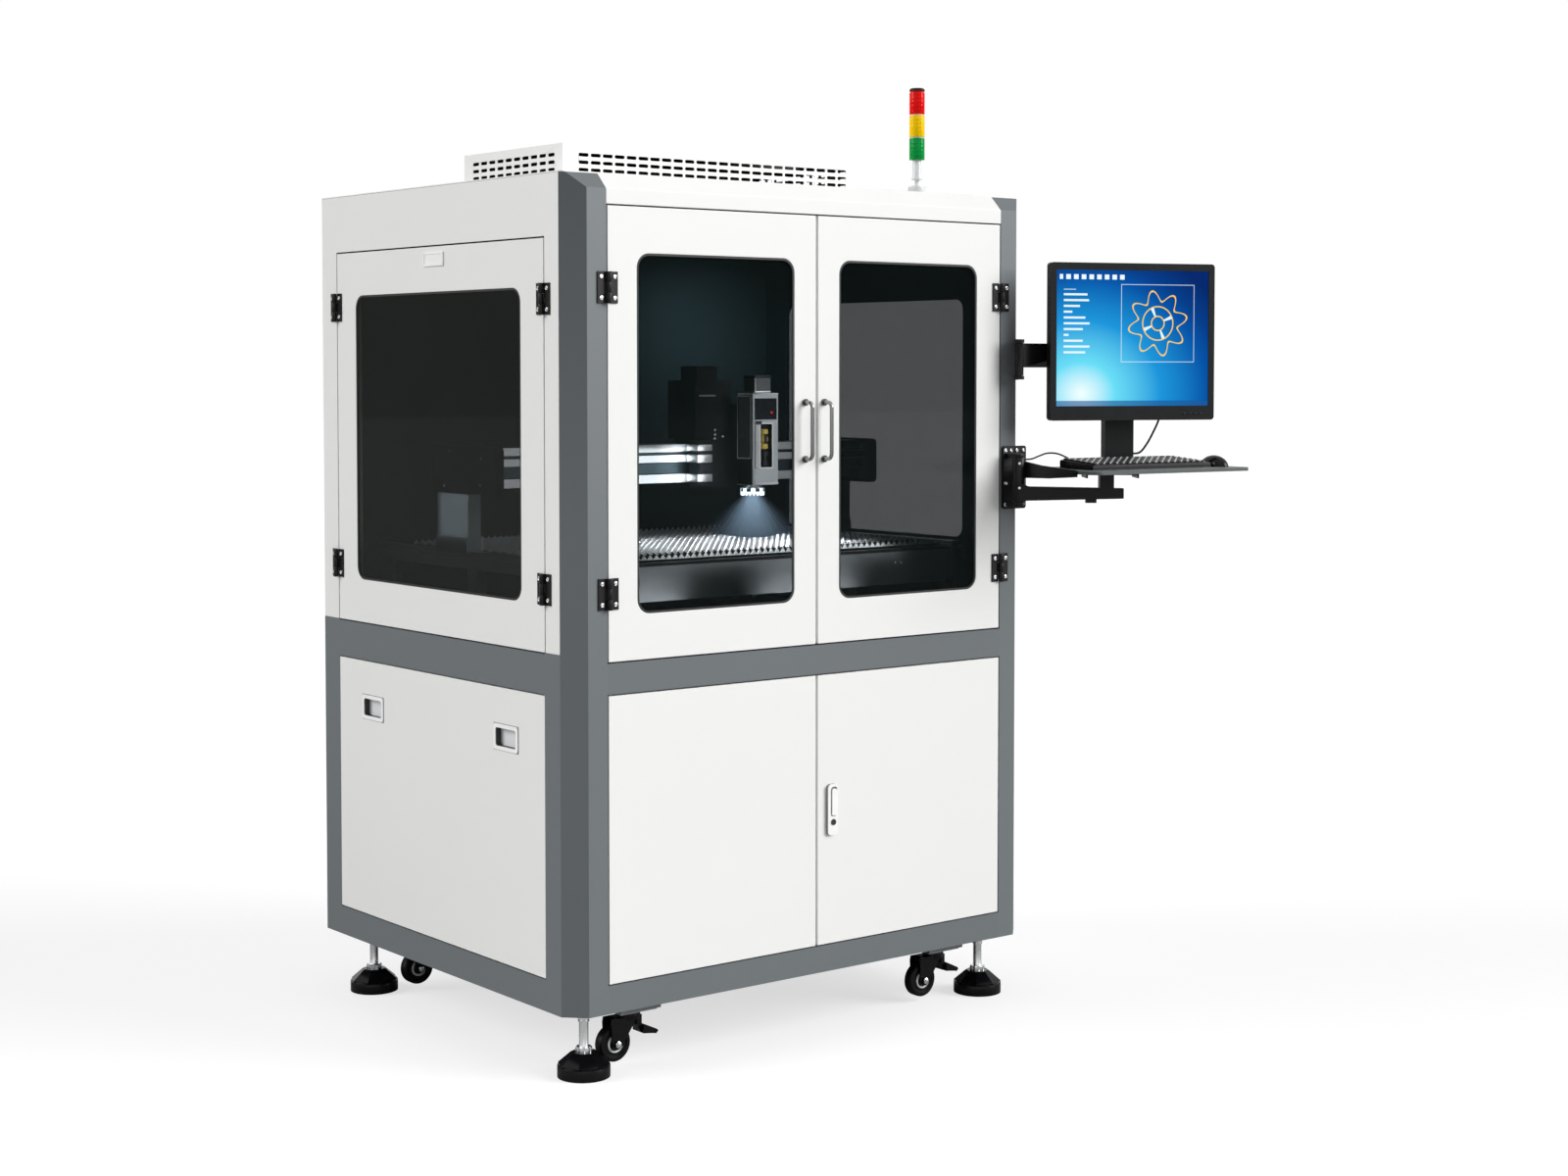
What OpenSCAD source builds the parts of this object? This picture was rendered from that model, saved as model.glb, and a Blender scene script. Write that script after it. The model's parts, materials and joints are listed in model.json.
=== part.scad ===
// Enclosed laser engraving machine on casters and levelling feet, with an operator station.
// Millimetres. X runs along the front, Y towards the back, Z up.
// The design is drawn with the cabinet's front left lower corner at the origin.
// The finished part is moved so that the floor is Z = 0 and the middle of its box is X = Y = 0.

/* [Cabinet] */
// Width over the side walls
cab_w = 1240; // [1150:5:1400]
// Depth from the front face to the rear
cab_d = 1027; // [960:1:1150]
// Height of the cabinet above its underside
cab_h = 1680; // [1640:5:1800]
// Chamfer of the front vertical corners
corner_c = 40; // [30:1:50]
// Slope between the front face and the roof
roof_bevel = 34; // [25:1:40]
// Width of the front posts seen from the front
post_w = 86; // [80:1:95]
// Depth of the front posts seen from the side
post_d = 96; // [90:1:110]
// Side of the rear posts
rear_post = 71; // [65:1:80]
// Wall of the posts and rails
tube_wall = 4; // [3:0.5:6]
// Thickness of the cover sheets
sheet_t = 3; // [2:0.5:4]
// Height of the bottom rails
bottom_rail_h = 57; // [50:1:65]
// Underside of the middle rails
mid_rail_z = 642; // [630:1:650]
// Top of the middle rails
mid_rail_top = 704; // [700:1:712]
// Gap around doors and panels
door_gap = 3; // [2:0.5:5]

/* [Doors] */
// Thickness of the doors
door_t = 26; // [20:1:30]
// Height of the header above the upper doors
header_h = 64; // [55:1:80]
// Gap between the two doors of a pair
pair_gap = 6; // [4:0.5:8]
// Outer margin beside a front window
win_outer = 70; // [60:1:80]
// Inner margin beside a front window
win_inner = 58; // [50:1:66]
// Margin above and below a front window
win_edge = 92; // [80:1:110]
// Corner radius of the windows
win_r = 30; // [20:1:40]
// Thickness of the window glass
glass_t = 6; // [4:1:8]
// Overlap of the glass behind the door sheet
glass_lap = 14; // [10:1:18]
// Distance from the left door's meeting edge to its handle
handle_in = 30; // [24:1:40]
// Distance from the right door's meeting edge to its handle
right_handle_in = 16; // [14:1:40]
// Distance between the handle's feet
handle_cc = 120; // [100:5:160]
// Diameter of the handle's rod
handle_d = 8.5; // [7:0.5:11]
// Reach of the handle from the door
handle_reach = 30; // [26:1:36]

/* [Side wall] */
// Lower edge of the side door
side_door_z = 724; // [720:1:730]
// Height of the side wall above the side door
side_head = 130; // [120:1:160]
// Margin in front of and behind the side window
side_win_edge = 86; // [80:1:95]
// Margin above and below the side window
side_win_rise = 96; // [90:1:110]
// Lower edge of the lift-out panel
panel_z = 67; // [64:1:75]
// Thickness of the lift-out panel
panel_t = 20; // [16:1:24]
// Width of a flush pull
pull_w = 94; // [80:1:110]
// Height of a flush pull
pull_h = 54; // [46:1:62]
// Depth of a flush pull
pull_deep = 16; // [12:1:17]
// Middle of the pulls above the cabinet's underside
pull_z = 535; // [500:1:560]
// Distance of a pull's middle from the panel's edge
pull_in = 147; // [120:1:180]

/* [Hinges and lock] */
// Height of a hinge
hinge_h = 63; // [50:1:80]
// Width of one hinge leaf from the pin's axis
leaf_w = 24; // [20:1:28]
// Thickness of a hinge leaf
leaf_t = 3; // [2.5:0.5:4]
// Radius of the hinge knuckles
knuckle_r = 5.5; // [5:0.5:6.5]
// Radius of the hinge pins
hinge_pin_r = 2.5; // [2:0.1:3]
// Running clearance of pins and shafts
pin_fit = 0.05; // [0.02:0.01:0.08]
// Distance of the upper hinges below the front doors' upper edge
hinge_drop = 162; // [120:1:200]
// Distance of the lower hinges above the front doors' lower edge
hinge_rise = 136; // [100:1:180]
// Distance of the side door's hinges from its lower and upper edges
side_hinge_in = 124; // [100:1:160]
// Width of the lock plate
lock_w = 27; // [22:1:34]
// Height of the lock plate
lock_h = 110; // [90:1:130]
// Lower end of the lock plate
lock_z = 294; // [270:1:320]

/* [Running gear] */
// Height of the cabinet's underside above the floor
foot_h = 140; // [135:1:150]
// Distance of the levelling feet from the cabinet's sides
foot_in = 78; // [74:1:84]
// Radius of a foot's base
foot_r = 54; // [45:1:60]
// Height of a foot's rubber ring
foot_ring_h = 23; // [16:1:30]
// Height of a foot's cone
foot_cone_h = 26; // [18:1:32]
// Radius of the levelling screw
screw_r = 9.5; // [8:0.5:12]
// Distance of the swivel axis from the side walls
caster_x = 200; // [190:1:220]
// Distance of the front swivel axes from the front
caster_y = 95; // [92:1:110]
// Distance of the rear swivel axes from the rear
caster_back = 130; // [110:1:150]
// Radius of the caster wheels
wheel_r = 37.5; // [34:0.5:38]
// Width of the caster wheels
wheel_w = 26; // [22:1:30]
// Trail of the wheels behind the swivel axis
trail = 40; // [34:1:44]
// Height of the caster pads under the frame
pad_h = 22; // [18:1:24]
// Clearance of the wheels above the floor
wheel_lift = 12; // [10:1:14]

/* [Roof] */
// Left face of the ventilation box
vent_x = 62; // [50:1:80]
// Width of the ventilation box
vent_w = 766; // [700:1:780]
// Front face of the ventilation box
vent_y = 120; // [100:1:140]
// Depth of the ventilation box
vent_d = 380; // [340:1:420]
// Height of the ventilation box
vent_h = 63; // [55:1:75]
// Distance of the first slot from the left end
slot_start = 39; // [30:1:45]
// Length of a ventilation slot
slot_l = 24; // [18:1:25]
// Height of a ventilation slot
slot_h = 7; // [5:0.5:8]
// Distance of the slot rows
slot_row = 15; // [13:0.5:17]
// Place of the signal tower along X
lamp_x = 955; // [900:1:1000]
// Place of the signal tower along Y
lamp_y = 60; // [50:1:80]
// Radius of the signal lenses
lens_r = 17; // [14:0.5:20]
// Height of one lens
lens_h = 47; // [40:1:52]

/* [Work chamber] */
// Height of the tooth tips of the bed
bed_z = 902; // [890:1:910]
// Front edge of the bed
bed_y = 118; // [110:1:130]
// Depth of the bed
bed_d = 780; // [700:1:800]
// Distance of the bed from the side walls
bed_x = 130; // [128:1:150]
// Height of the bed's front apron
apron_h = 80; // [60:1:90]
// Distance between two slats
slat_pitch = 40; // [30:1:60]
// Distance between two teeth
tooth_pitch = 16; // [14:1:24]
// Front face of the gantry beam
beam_y = 450; // [430:1:470]
// Underside of the gantry beam
beam_z = 1035; // [1030:1:1045]
// Height of the gantry beam
beam_h = 86; // [80:1:92]
// Depth of the gantry beam
beam_d = 80; // [70:1:90]
// Distance of the linear rails from the side walls
rail_x = 100; // [98:1:104]
// Middle of the laser head along X
head_x = 756; // [500:1:900]
// Width of the laser head
head_w = 73; // [64:1:84]
// Depth of the laser head
head_d = 55; // [48:1:60]
// Height of the laser head
head_h = 206; // [190:1:220]
// Underside of the laser head
head_z = 1028; // [1024:1:1040]
// Width of the laser source's cabinet
source_w = 600; // [500:10:700]
// Depth of the laser source's cabinet
source_d = 320; // [240:10:380]
// Height of the laser source's cabinet
source_h = 260; // [200:10:300]

/* [Operator station] */
// Distance of the swing axis from the right side
axis_in = 66; // [64:1:70]
// Swing axis in front of the cabinet
axis_out = 40; // [36:1:44]
// Length of the swing arm to its post
arm_l = 196; // [180:1:210]
// Direction of the swing arm at rest
arm_turn = -38; // [-40:1:-36]
// Width of the keyboard tray
tray_w = 465; // [460:1:500]
// Depth of the keyboard tray
tray_d = 265; // [260:1:268]
// Thickness of the keyboard tray
tray_t = 8; // [6:1:10]
// Corner radius of the keyboard tray
tray_r = 22; // [12:1:30]
// Underside of the keyboard tray above the cabinet's underside
tray_z = 1060; // [1058:1:1062]
// Width of the keyboard
key_w = 350; // [330:1:360]
// Depth of the keyboard
key_d = 114; // [113:1:120]
// Width of the monitor
mon_w = 410; // [380:1:430]
// Height of the monitor
mon_h = 355; // [330:1:370]
// Middle of the monitor above the cabinet's underside
mon_z = 1352; // [1340:1:1360]
// Width of the screen
scr_w = 380; // [340:1:384]
// Height of the screen
scr_h = 306; // [280:1:316]

/* [Hidden] */

$fn = 48;
eps = 0.01;
big = 4000;

// Doors
door_x0 = post_w + door_gap;
door_x1 = cab_w - door_x0;
door_mid = cab_w / 2 + 2;
header_z = cab_h - header_h;
upper_z0 = mid_rail_top + door_gap;
upper_z1 = header_z - door_gap;
handle_z = (upper_z0 + upper_z1) / 2;
hinge_low = upper_z0 + hinge_rise;
hinge_high = upper_z1 - hinge_drop;
side_door_top = cab_h - side_head;
lower_z0 = bottom_rail_h + door_gap;
lower_z1 = mid_rail_z - door_gap;
side_y0 = post_d;
side_y1 = cab_d - rear_post;
hinge_axis = knuckle_r + 1.5;
pivot_in = 6;
pivot_r = 2.5;

// Roof and tower
roof_z = cab_h - sheet_t;
slot_pitch_x = 29.4;
slot_pitch_y = 32.4;
tower_base_h = 12;
tube_z = cab_h + 32;
lens_z = cab_h + 72;
lens_gap = 3;

// Running gear
axle_z = wheel_r + wheel_lift - foot_h;
axle_r = 5;
king_r = 6;
plate_t = 4;
crown_z = -pad_h - plate_t - 6;
crown_h = 12;
ear_t = 4;
ear_gap = wheel_w + 2;

// Work chamber
deck_t = 6;
deck_z = mid_rail_top;
lining_t = 3;
ceiling_z = cab_h - 53;
lining_y0 = 206;
lining_y1 = 872;
lining_z0 = side_door_z + 173;
lining_z1 = side_door_top - side_win_rise - 1;
rail_top = 897;
slat_t = 3;
bed_rest = 14;
slat_count = floor((bed_d - 50) / slat_pitch) + 1;
tooth_h = 10;
slat_w = cab_w - 2 * bed_x - 12;
tooth_count = floor(slat_w / tooth_pitch);
carriage_gap = 0.3;
head_back = beam_y - 45;
head_front = head_back - head_d;
lens_x = head_x - 13;
lens_y = head_front + 31;
truck_y = beam_y + beam_d;
truck_l = 130;
source_x = (cab_w - source_w) / 2 + 10;
source_y = 350;
source_z = 40;

// Operator station
axis_x = cab_w - axis_in;
axis_y = -axis_out;
sleeve_r = 14;
post_pin_r = 6;
lug_t = 8;
lug_z0 = 982;
lug_z1 = 1092;
stay_z0 = 1275;
stay_z1 = 1349;
stay_r = 9.5;
tray_turn = -5;
tray_at = [axis_x - 6, -285];
tray_top = tray_z + tray_t;
stand_at = [255, 222];
mon_turn = -20;
stand_xy = tray_at + [cos(tray_turn) * stand_at[0] - sin(tray_turn) * stand_at[1],
    sin(tray_turn) * stand_at[0] + cos(tray_turn) * stand_at[1]];
column_w = 72;
column_t = 22;
tilt_y = -23;
tilt_z = 1340;
tilt_pin_r = 4;
mon_back = -35;
mon_front = -79;
bezel_t = 20;
post_at = [arm_l * cos(arm_turn), arm_l * sin(arm_turn)];

// The box of the whole part, and the move to its own frame
box_x0 = -(knuckle_r + hinge_axis);
box_x1 = tray_at[0] + (tray_w - tray_r) * cos(tray_turn) - (tray_d - tray_r) * sin(tray_turn) + tray_r;
box_y0 = tray_at[1] + (tray_w - tray_r) * sin(tray_turn) + tray_r * cos(tray_turn) - tray_r;
box_y1 = cab_d;
home = [-(box_x0 + box_x1) / 2, -(box_y0 + box_y1) / 2, foot_h];

module home_frame() {
    translate(home) children();
}

// Plain helpers

module block(low, high) {
    translate(low) cube(high - low);
}

module round_rect(w, h, r) {
    translate([r, 0]) square([w - 2 * r, h]);
    translate([0, r]) square([w, h - 2 * r]);
    for (x = [r, w - r], y = [r, h - r]) translate([x, y]) circle(r);
}

// A rounded rectangle in the XZ plane, from front face y to y + t
module xz_plate(x, z, w, h, r, y, t) {
    translate([x, y + t, z]) rotate([90, 0, 0]) linear_extrude(t) round_rect(w, h, r);
}

// A rounded rectangle in the YZ plane, from face x to x + t
module yz_plate(y, z, w, h, r, x, t) {
    translate([x, y, z]) rotate([90, 0, 90]) linear_extrude(t) round_rect(w, h, r);
}

module rod_x(x, y, z, r, l) {
    translate([x, y, z]) rotate([0, 90, 0]) cylinder(r = r, h = l);
}

module rod_y(x, y, z, r, l) {
    translate([x, y, z]) rotate([-90, 0, 0]) cylinder(r = r, h = l);
}

module mirror_x(x_mid) {
    translate([2 * x_mid, 0, 0]) mirror([1, 0, 0]) children();
}

module both_sides() {
    children();
    mirror_x(cab_w / 2) children();
}

// A profile given as points (y, z), drawn out along X from x0 to x1
module yz_profile(points, x0, x1) {
    translate([x0, 0, 0]) rotate([90, 0, 90]) linear_extrude(x1 - x0) polygon(points);
}

// Frame

function post_plan(t) = [
    [t, corner_c + t * (sqrt(2) - 1)], [corner_c + t * (sqrt(2) - 1), t],
    [post_w - t, t], [post_w - t, post_d - t], [t, post_d - t]];

module front_post() {
    difference() {
        intersection() {
            linear_extrude(cab_h) polygon(post_plan(0));
            yz_profile([[0, 0], [0, cab_h - roof_bevel], [roof_bevel - sheet_t, roof_z],
                [post_d, roof_z], [post_d, 0]], 0, post_w);
        }
        translate([0, 0, bottom_rail_h]) linear_extrude(cab_h - roof_bevel - bottom_rail_h - 10)
            polygon(post_plan(tube_wall));
        side_skin_room();
        foot_bore();
    }
}

module rear_post_tube() {
    difference() {
        block([0, side_y1, 0], [rear_post, cab_d, roof_z]);
        block([tube_wall, side_y1 + tube_wall, bottom_rail_h],
            [rear_post - tube_wall, cab_d - tube_wall, roof_z - 10]);
        side_skin_room();
        translate([0, cab_d, 0]) mirror([0, 1, 0]) foot_bore();
    }
}

module side_skin_room() {
    block([-1, corner_c + 1, side_door_z], [sheet_t, cab_d + 1, cab_h + 1]);
}

module foot_bore() {
    translate([foot_in, foot_in, -1]) cylinder(r = screw_r + pin_fit, h = 46);
}

module foot_seat() {
    difference() {
        block([rear_post - 20, rear_post - 20, 0], [foot_in + 30, foot_in + 30, bottom_rail_h]);
        foot_bore();
    }
}

module panel_lips() {
    for (z = [panel_z - door_gap, lower_z1 - 12])
        block([panel_t, side_y0, z], [panel_t + 3, side_y1, z + 15]);
}

module base_frame() {
    color("#474d50") home_frame() {
        difference() {
            union() {
                both_sides() {
                    front_post();
                    rear_post_tube();
                    foot_seat();
                    translate([0, cab_d, 0]) mirror([0, 1, 0]) foot_seat();
                    // Side rails
                    block([0, side_y0, 0], [60, side_y1, panel_z - door_gap]);
                    block([0, side_y0, lower_z1 + 1], [60, side_y1, side_door_z - door_gap]);
                    block([sheet_t, side_y0, roof_z - 50], [53, side_y1, roof_z]);
                    panel_lips();
                }
                // Front and rear rails
                block([post_w, 0, 0], [cab_w - post_w, 60, bottom_rail_h]);
                block([post_w, 0, mid_rail_z], [cab_w - post_w, 60, mid_rail_top]);
                block([post_w, 40, roof_z - 50], [cab_w - post_w, 90, roof_z]);
                for (z = [[0, bottom_rail_h], [mid_rail_z, mid_rail_top], [roof_z - 50, roof_z]])
                    block([rear_post, cab_d - 63, z[0]], [cab_w - rear_post, cab_d - sheet_t, z[1]]);
                // Cross members that carry the casters and the laser source
                for (y = [caster_y, cab_d - caster_back, source_y + 30, source_y + source_d - 30])
                    block([60, y - 30, 0], [cab_w - 60, y + 30, 40]);
            }
            both_sides() {
                foot_bore();
                translate([0, cab_d, 0]) mirror([0, 1, 0]) foot_bore();
            }
        }
        // Pivot pins of the lower doors
        for (x = [door_x0 + pivot_in, door_x1 - pivot_in]) {
            translate([x, pivot_in, bottom_rail_h - 2]) cylinder(r = pivot_r, h = 10);
            translate([x, pivot_in, mid_rail_z - 8]) cylinder(r = pivot_r, h = 10);
        }
    }
}

// Black sheets inside the work chamber: floor, rear wall, right wall and slotted ceiling
module chamber_lining() {
    rear = side_y1 - lining_t;
    right = cab_w - sheet_t - glass_t;
    color("#1f2326") home_frame() {
        translate([0, 0, deck_z]) linear_extrude(deck_t)
            polygon([[post_w + 2, 28], [cab_w - post_w - 2, 28], [cab_w - post_w - 2, post_d + 2],
                [cab_w - 62, post_d + 2], [cab_w - 62, side_y1 - 2],
                [cab_w - rear_post - 2, side_y1 - 2], [cab_w - rear_post - 2, cab_d - 6],
                [rear_post + 2, cab_d - 6], [rear_post + 2, side_y1 - 2], [62, side_y1 - 2],
                [62, post_d + 2], [post_w + 2, post_d + 2]]);
        block([64, rear, deck_z + deck_t - eps], [cab_w - 64, side_y1, ceiling_z - eps]);
        block([cab_w - 66, rear, mid_rail_top + 20], [right, side_y1, ceiling_z - eps]);
        difference() {
            block([right - lining_t, post_d + 1, mid_rail_top + 20], [right, side_y1, ceiling_z - eps]);
            yz_plate(lining_y0, lining_z0, lining_y1 - lining_y0, lining_z1 - lining_z0, 24,
                right - lining_t - 1, lining_t + 2);
        }
        difference() {
            union() {
                block([44, post_d + 1, ceiling_z - lining_t], [right, side_y1, ceiling_z]);
                block([post_w + 1, 64, ceiling_z - lining_t],
                    [cab_w - post_w - 1, post_d + 2, ceiling_z]);
            }
            for (i = [0:9])
                block([vent_x + 80 + 62 * i, vent_y + 40, ceiling_z - lining_t - 1],
                    [vent_x + 110 + 62 * i, vent_y + 180, ceiling_z + 1]);
        }
    }
}

// Covers

module side_surround() {
    color("#e8ebe8") home_frame() difference() {
        block([0, corner_c + 1, side_door_z], [sheet_t, cab_d, roof_z]);
        block([-1, side_y0 - door_gap, side_door_z - 1],
            [sheet_t + 1, side_y1 + door_gap, side_door_top + door_gap]);
    }
}

module fixed_panels() {
    color("#e8ebe8") home_frame() {
        for (z = [[bottom_rail_h + door_gap - 8, mid_rail_top - 30], [mid_rail_top - 26, cab_h - 60]])
            difference() {
                block([rear_post + 3, cab_d - sheet_t, z[0]],
                    [cab_w - rear_post - 3, cab_d, z[1]]);
                if (z[0] < 100) for (i = [0:7])
                    xz_plate(cab_w / 2 - 150, z[0] + 60 + 22 * i, 300, 8, 3.9, cab_d - sheet_t - 1,
                        sheet_t + 2);
            }
        difference() {
            block([cab_w - sheet_t, corner_c + 1, side_door_z], [cab_w, cab_d, roof_z]);
            yz_plate(side_y0 + side_win_edge, side_door_z + side_win_rise,
                side_y1 - side_y0 - 2 * side_win_edge,
                side_door_top - side_door_z - 2 * side_win_rise, win_r, cab_w - sheet_t - 1,
                sheet_t + 2);
        }
        block([cab_w - panel_t, side_y0 + 1, panel_z], [cab_w, side_y1 - 1, lower_z1 - 2]);
    }
}

module roof_hood() {
    color("#f2f3f1") home_frame() {
        difference() {
            intersection() {
                translate([0, 0, roof_z]) linear_extrude(sheet_t) polygon([[0, corner_c],
                    [corner_c, 0], [cab_w - corner_c, 0], [cab_w, corner_c], [cab_w, cab_d],
                    [0, cab_d]]);
                yz_profile([[roof_bevel - sheet_t, roof_z], [roof_bevel, cab_h], [cab_d, cab_h],
                    [cab_d, roof_z]], 0, cab_w);
            }
        }
        yz_profile([[0, header_z], [0, cab_h - roof_bevel], [roof_bevel, cab_h], [60, cab_h],
            [60, roof_z], [roof_bevel + 1.2, roof_z], [sheet_t, cab_h - roof_bevel - 1.2],
            [sheet_t, header_z + sheet_t], [40, header_z + sheet_t], [40, header_z]],
            post_w, cab_w - post_w);
    }
}

// Rounded slots in the XZ plane through a wall at y
module slot_field_x(count, x, y) {
    for (i = [0:count - 1], row = [0:2])
        xz_plate(x + slot_pitch_x * i, cab_h + 8 + slot_row * row, slot_l, slot_h,
            slot_h / 2 - 0.1, y - 2, 8);
}

module slot_field_y(count, y, x) {
    for (i = [0:count - 1], row = [0:2])
        yz_plate(y + slot_pitch_y * i, cab_h + 8 + slot_row * row, slot_l, slot_h,
            slot_h / 2 - 0.1, x - 2, 8);
}

module vent_box() {
    across = floor((vent_w - 50) / slot_pitch_x);
    along = floor((vent_d - 50) / slot_pitch_y);
    color("#eceeeb") home_frame() difference() {
        block([vent_x, vent_y, cab_h], [vent_x + vent_w, vent_y + vent_d, cab_h + vent_h]);
        block([vent_x + 2, vent_y + 2, cab_h - 1],
            [vent_x + vent_w - 2, vent_y + vent_d - 2, cab_h + vent_h - 2]);
        slot_field_x(across, vent_x + slot_start, vent_y);
        slot_field_y(along, vent_y + slot_start - 10, vent_x);
        slot_field_y(along, vent_y + slot_start - 10, vent_x + vent_w - 4);
    }
}

module right_window() {
    color("#1b2023") home_frame()
        yz_plate(side_y0 + side_win_edge - glass_lap, side_door_z + side_win_rise - glass_lap,
            side_y1 - side_y0 - 2 * side_win_edge + 2 * glass_lap,
            side_door_top - side_door_z - 2 * side_win_rise + 2 * glass_lap, win_r,
            cab_w - sheet_t - glass_t, glass_t);
}

module lamp_pole() {
    color("#c9ccca") home_frame() translate([lamp_x, lamp_y, cab_h]) {
        cylinder(r = 20, h = tower_base_h);
        cylinder(r = 13, h = tower_base_h + 3);
        cylinder(r = 5, h = tube_z - cab_h);
        translate([0, 0, tube_z - cab_h - 4]) cylinder(r = 12, h = 4);
        translate([0, 0, tube_z - cab_h]) cylinder(r = 10, h = lens_z - tube_z);
    }
}

module lamp_lenses() {
    color("#1aa34a") home_frame() translate([lamp_x, lamp_y, lens_z]) {
        for (i = [0:2]) translate([0, 0, i * (lens_h + lens_gap)]) {
            cylinder(r = lens_r, h = lens_h);
            translate([0, 0, lens_h]) cylinder(r = lens_r - 2, h = lens_gap);
        }
        translate([0, 0, 3 * (lens_h + lens_gap)]) cylinder(r = lens_r, h = 4);
        translate([0, 0, 3 * (lens_h + lens_gap) + 4]) cylinder(r1 = lens_r, r2 = lens_r - 3, h = 3);
    }
}

// Doors

// A folded door in the XZ plane with a window; the right door is its mirror image
module upper_door(w) {
    h = upper_z1 - upper_z0;
    ww = w - win_outer - win_inner;
    wh = h - 2 * win_edge;
    difference() {
        block([0, 0, 0], [w, door_t, h]);
        block([sheet_t, sheet_t, sheet_t], [w - sheet_t, door_t + 1, h - sheet_t]);
        xz_plate(win_outer, win_edge, ww, wh, win_r, -1, sheet_t + 2);
    }
    // Frame that holds the glass
    difference() {
        xz_plate(win_outer - glass_lap - 6, win_edge - glass_lap - 6, ww + 2 * glass_lap + 12,
            wh + 2 * glass_lap + 12, win_r, sheet_t - eps, door_t - 6);
        xz_plate(win_outer - glass_lap, win_edge - glass_lap, ww + 2 * glass_lap,
            wh + 2 * glass_lap, win_r, sheet_t - 1, door_t);
    }
}

module upper_glass(w) {
    h = upper_z1 - upper_z0;
    xz_plate(win_outer - glass_lap + 0.1, win_edge - glass_lap + 0.1,
        w - win_outer - win_inner + 2 * glass_lap - 0.2, h - 2 * win_edge + 2 * glass_lap - 0.2,
        win_r, sheet_t, glass_t);
}

left_door_w = door_mid - pair_gap / 2 - door_x0;
right_door_w = door_x1 - door_mid - pair_gap / 2;

module at_left_door() {
    home_frame() translate([door_x0, 0, upper_z0]) children();
}

module at_right_door() {
    home_frame() translate([door_x1, 0, upper_z0]) mirror([1, 0, 0]) children();
}

module upper_left_door() {
    color("#f1f3f0") at_left_door() upper_door(left_door_w);
}

module upper_right_door() {
    color("#f1f3f0") at_right_door() upper_door(right_door_w);
}

module upper_left_window() {
    color("#1b2023") at_left_door() upper_glass(left_door_w);
}

module upper_right_window() {
    color("#1b2023") at_right_door() upper_glass(right_door_w);
}

// A bent rod on two collared feet, standing out along -Y
module pull_handle() {
    bend = 12;
    for (s = [-1, 1]) {
        rod_y(0, -5, s * handle_cc / 2, handle_d / 2 + 3, 5);
        rod_y(0, -handle_reach + handle_d / 2 + bend, s * handle_cc / 2, handle_d / 2,
            handle_reach - handle_d / 2 - bend);
        translate([0, -handle_reach + handle_d / 2 + bend, s * (handle_cc / 2 - bend)])
            rotate([0, 0, 180]) rotate([s > 0 ? 90 : 0, 0, 0]) rotate([0, 90, 0])
            rotate_extrude(angle = 90) translate([bend, 0]) circle(handle_d / 2);
    }
    translate([0, -handle_reach + handle_d / 2, -handle_cc / 2 + bend])
        cylinder(r = handle_d / 2, h = handle_cc - 2 * bend);
}

module upper_left_handle() {
    color("#d8dadb") home_frame()
        translate([door_mid - pair_gap / 2 - handle_in, 0, handle_z]) pull_handle();
}

module upper_right_handle() {
    color("#d8dadb") home_frame()
        translate([door_mid + pair_gap / 2 + right_handle_in, 0, handle_z]) pull_handle();
}

// Hinges. The pin stands along Z at the origin, the faces lie in the plane y = hinge_axis,
// and a leaf reaches towards +X.

module leaf(knuckles, bore) {
    difference() {
        union() {
            difference() {
                block([knuckle_r + 1, hinge_axis - leaf_t, -hinge_h / 2],
                    [leaf_w, hinge_axis, hinge_h / 2]);
                for (z = [-hinge_h / 3, hinge_h / 3])
                    rod_y(leaf_w - 8, hinge_axis - leaf_t - 1, z, 2.6, leaf_t + 2);
            }
            for (k = knuckles) {
                translate([0, 0, k[0]]) cylinder(r = knuckle_r, h = k[1] - k[0]);
                block([0, 1, k[0]], [knuckle_r + 2, hinge_axis - 1.5, k[1]]);
            }
        }
        translate([0, 0, -big / 2]) cylinder(r = bore, h = big);
    }
}

outer_knuckles = [[-hinge_h / 2, -hinge_h / 6 - 0.25], [hinge_h / 6 + 0.25, hinge_h / 2]];
middle_knuckle = [[-hinge_h / 6 + 0.25, hinge_h / 6 - 0.25]];

module fixed_leaf() {
    mirror([1, 0, 0]) leaf(outer_knuckles, hinge_pin_r - 0.5);
    translate([0, 0, -hinge_h / 2]) cylinder(r = hinge_pin_r, h = hinge_h);
}

module moving_leaf() {
    leaf(middle_knuckle, hinge_pin_r + pin_fit);
}

// The rear pair on the side door: same leaves, with the pin drawn out
module unpinned_leaf(knuckles, side) {
    scale([1, 1, 1]) mirror([side, 0, 0]) leaf(knuckles, hinge_pin_r + pin_fit);
}

front_seam = post_w + door_gap / 2;
side_hinge_z = [side_door_z + side_hinge_in + 3, side_door_top - side_hinge_in + 3];

module at_side_hinge(y) {
    for (z = side_hinge_z) translate([-hinge_axis, y, z]) rotate([0, 0, -90])
        children();
}

module cabinet_hinge_leaves() {
    color("#23272a") home_frame() {
        for (z = [hinge_low, hinge_high]) {
            translate([front_seam, -hinge_axis, z]) fixed_leaf();
            translate([cab_w - front_seam, -hinge_axis, z]) mirror([1, 0, 0]) fixed_leaf();
        }
        for (z = side_hinge_z) {
            translate([-hinge_axis, side_y0 - door_gap / 2, z]) rotate([0, 0, 90])
                mirror([0, 1, 0]) fixed_leaf();
            translate([-hinge_axis, side_y1 + door_gap / 2, z]) rotate([0, 0, 90])
                mirror([0, 1, 0]) unpinned_leaf(outer_knuckles, 0);
        }
    }
}

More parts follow.
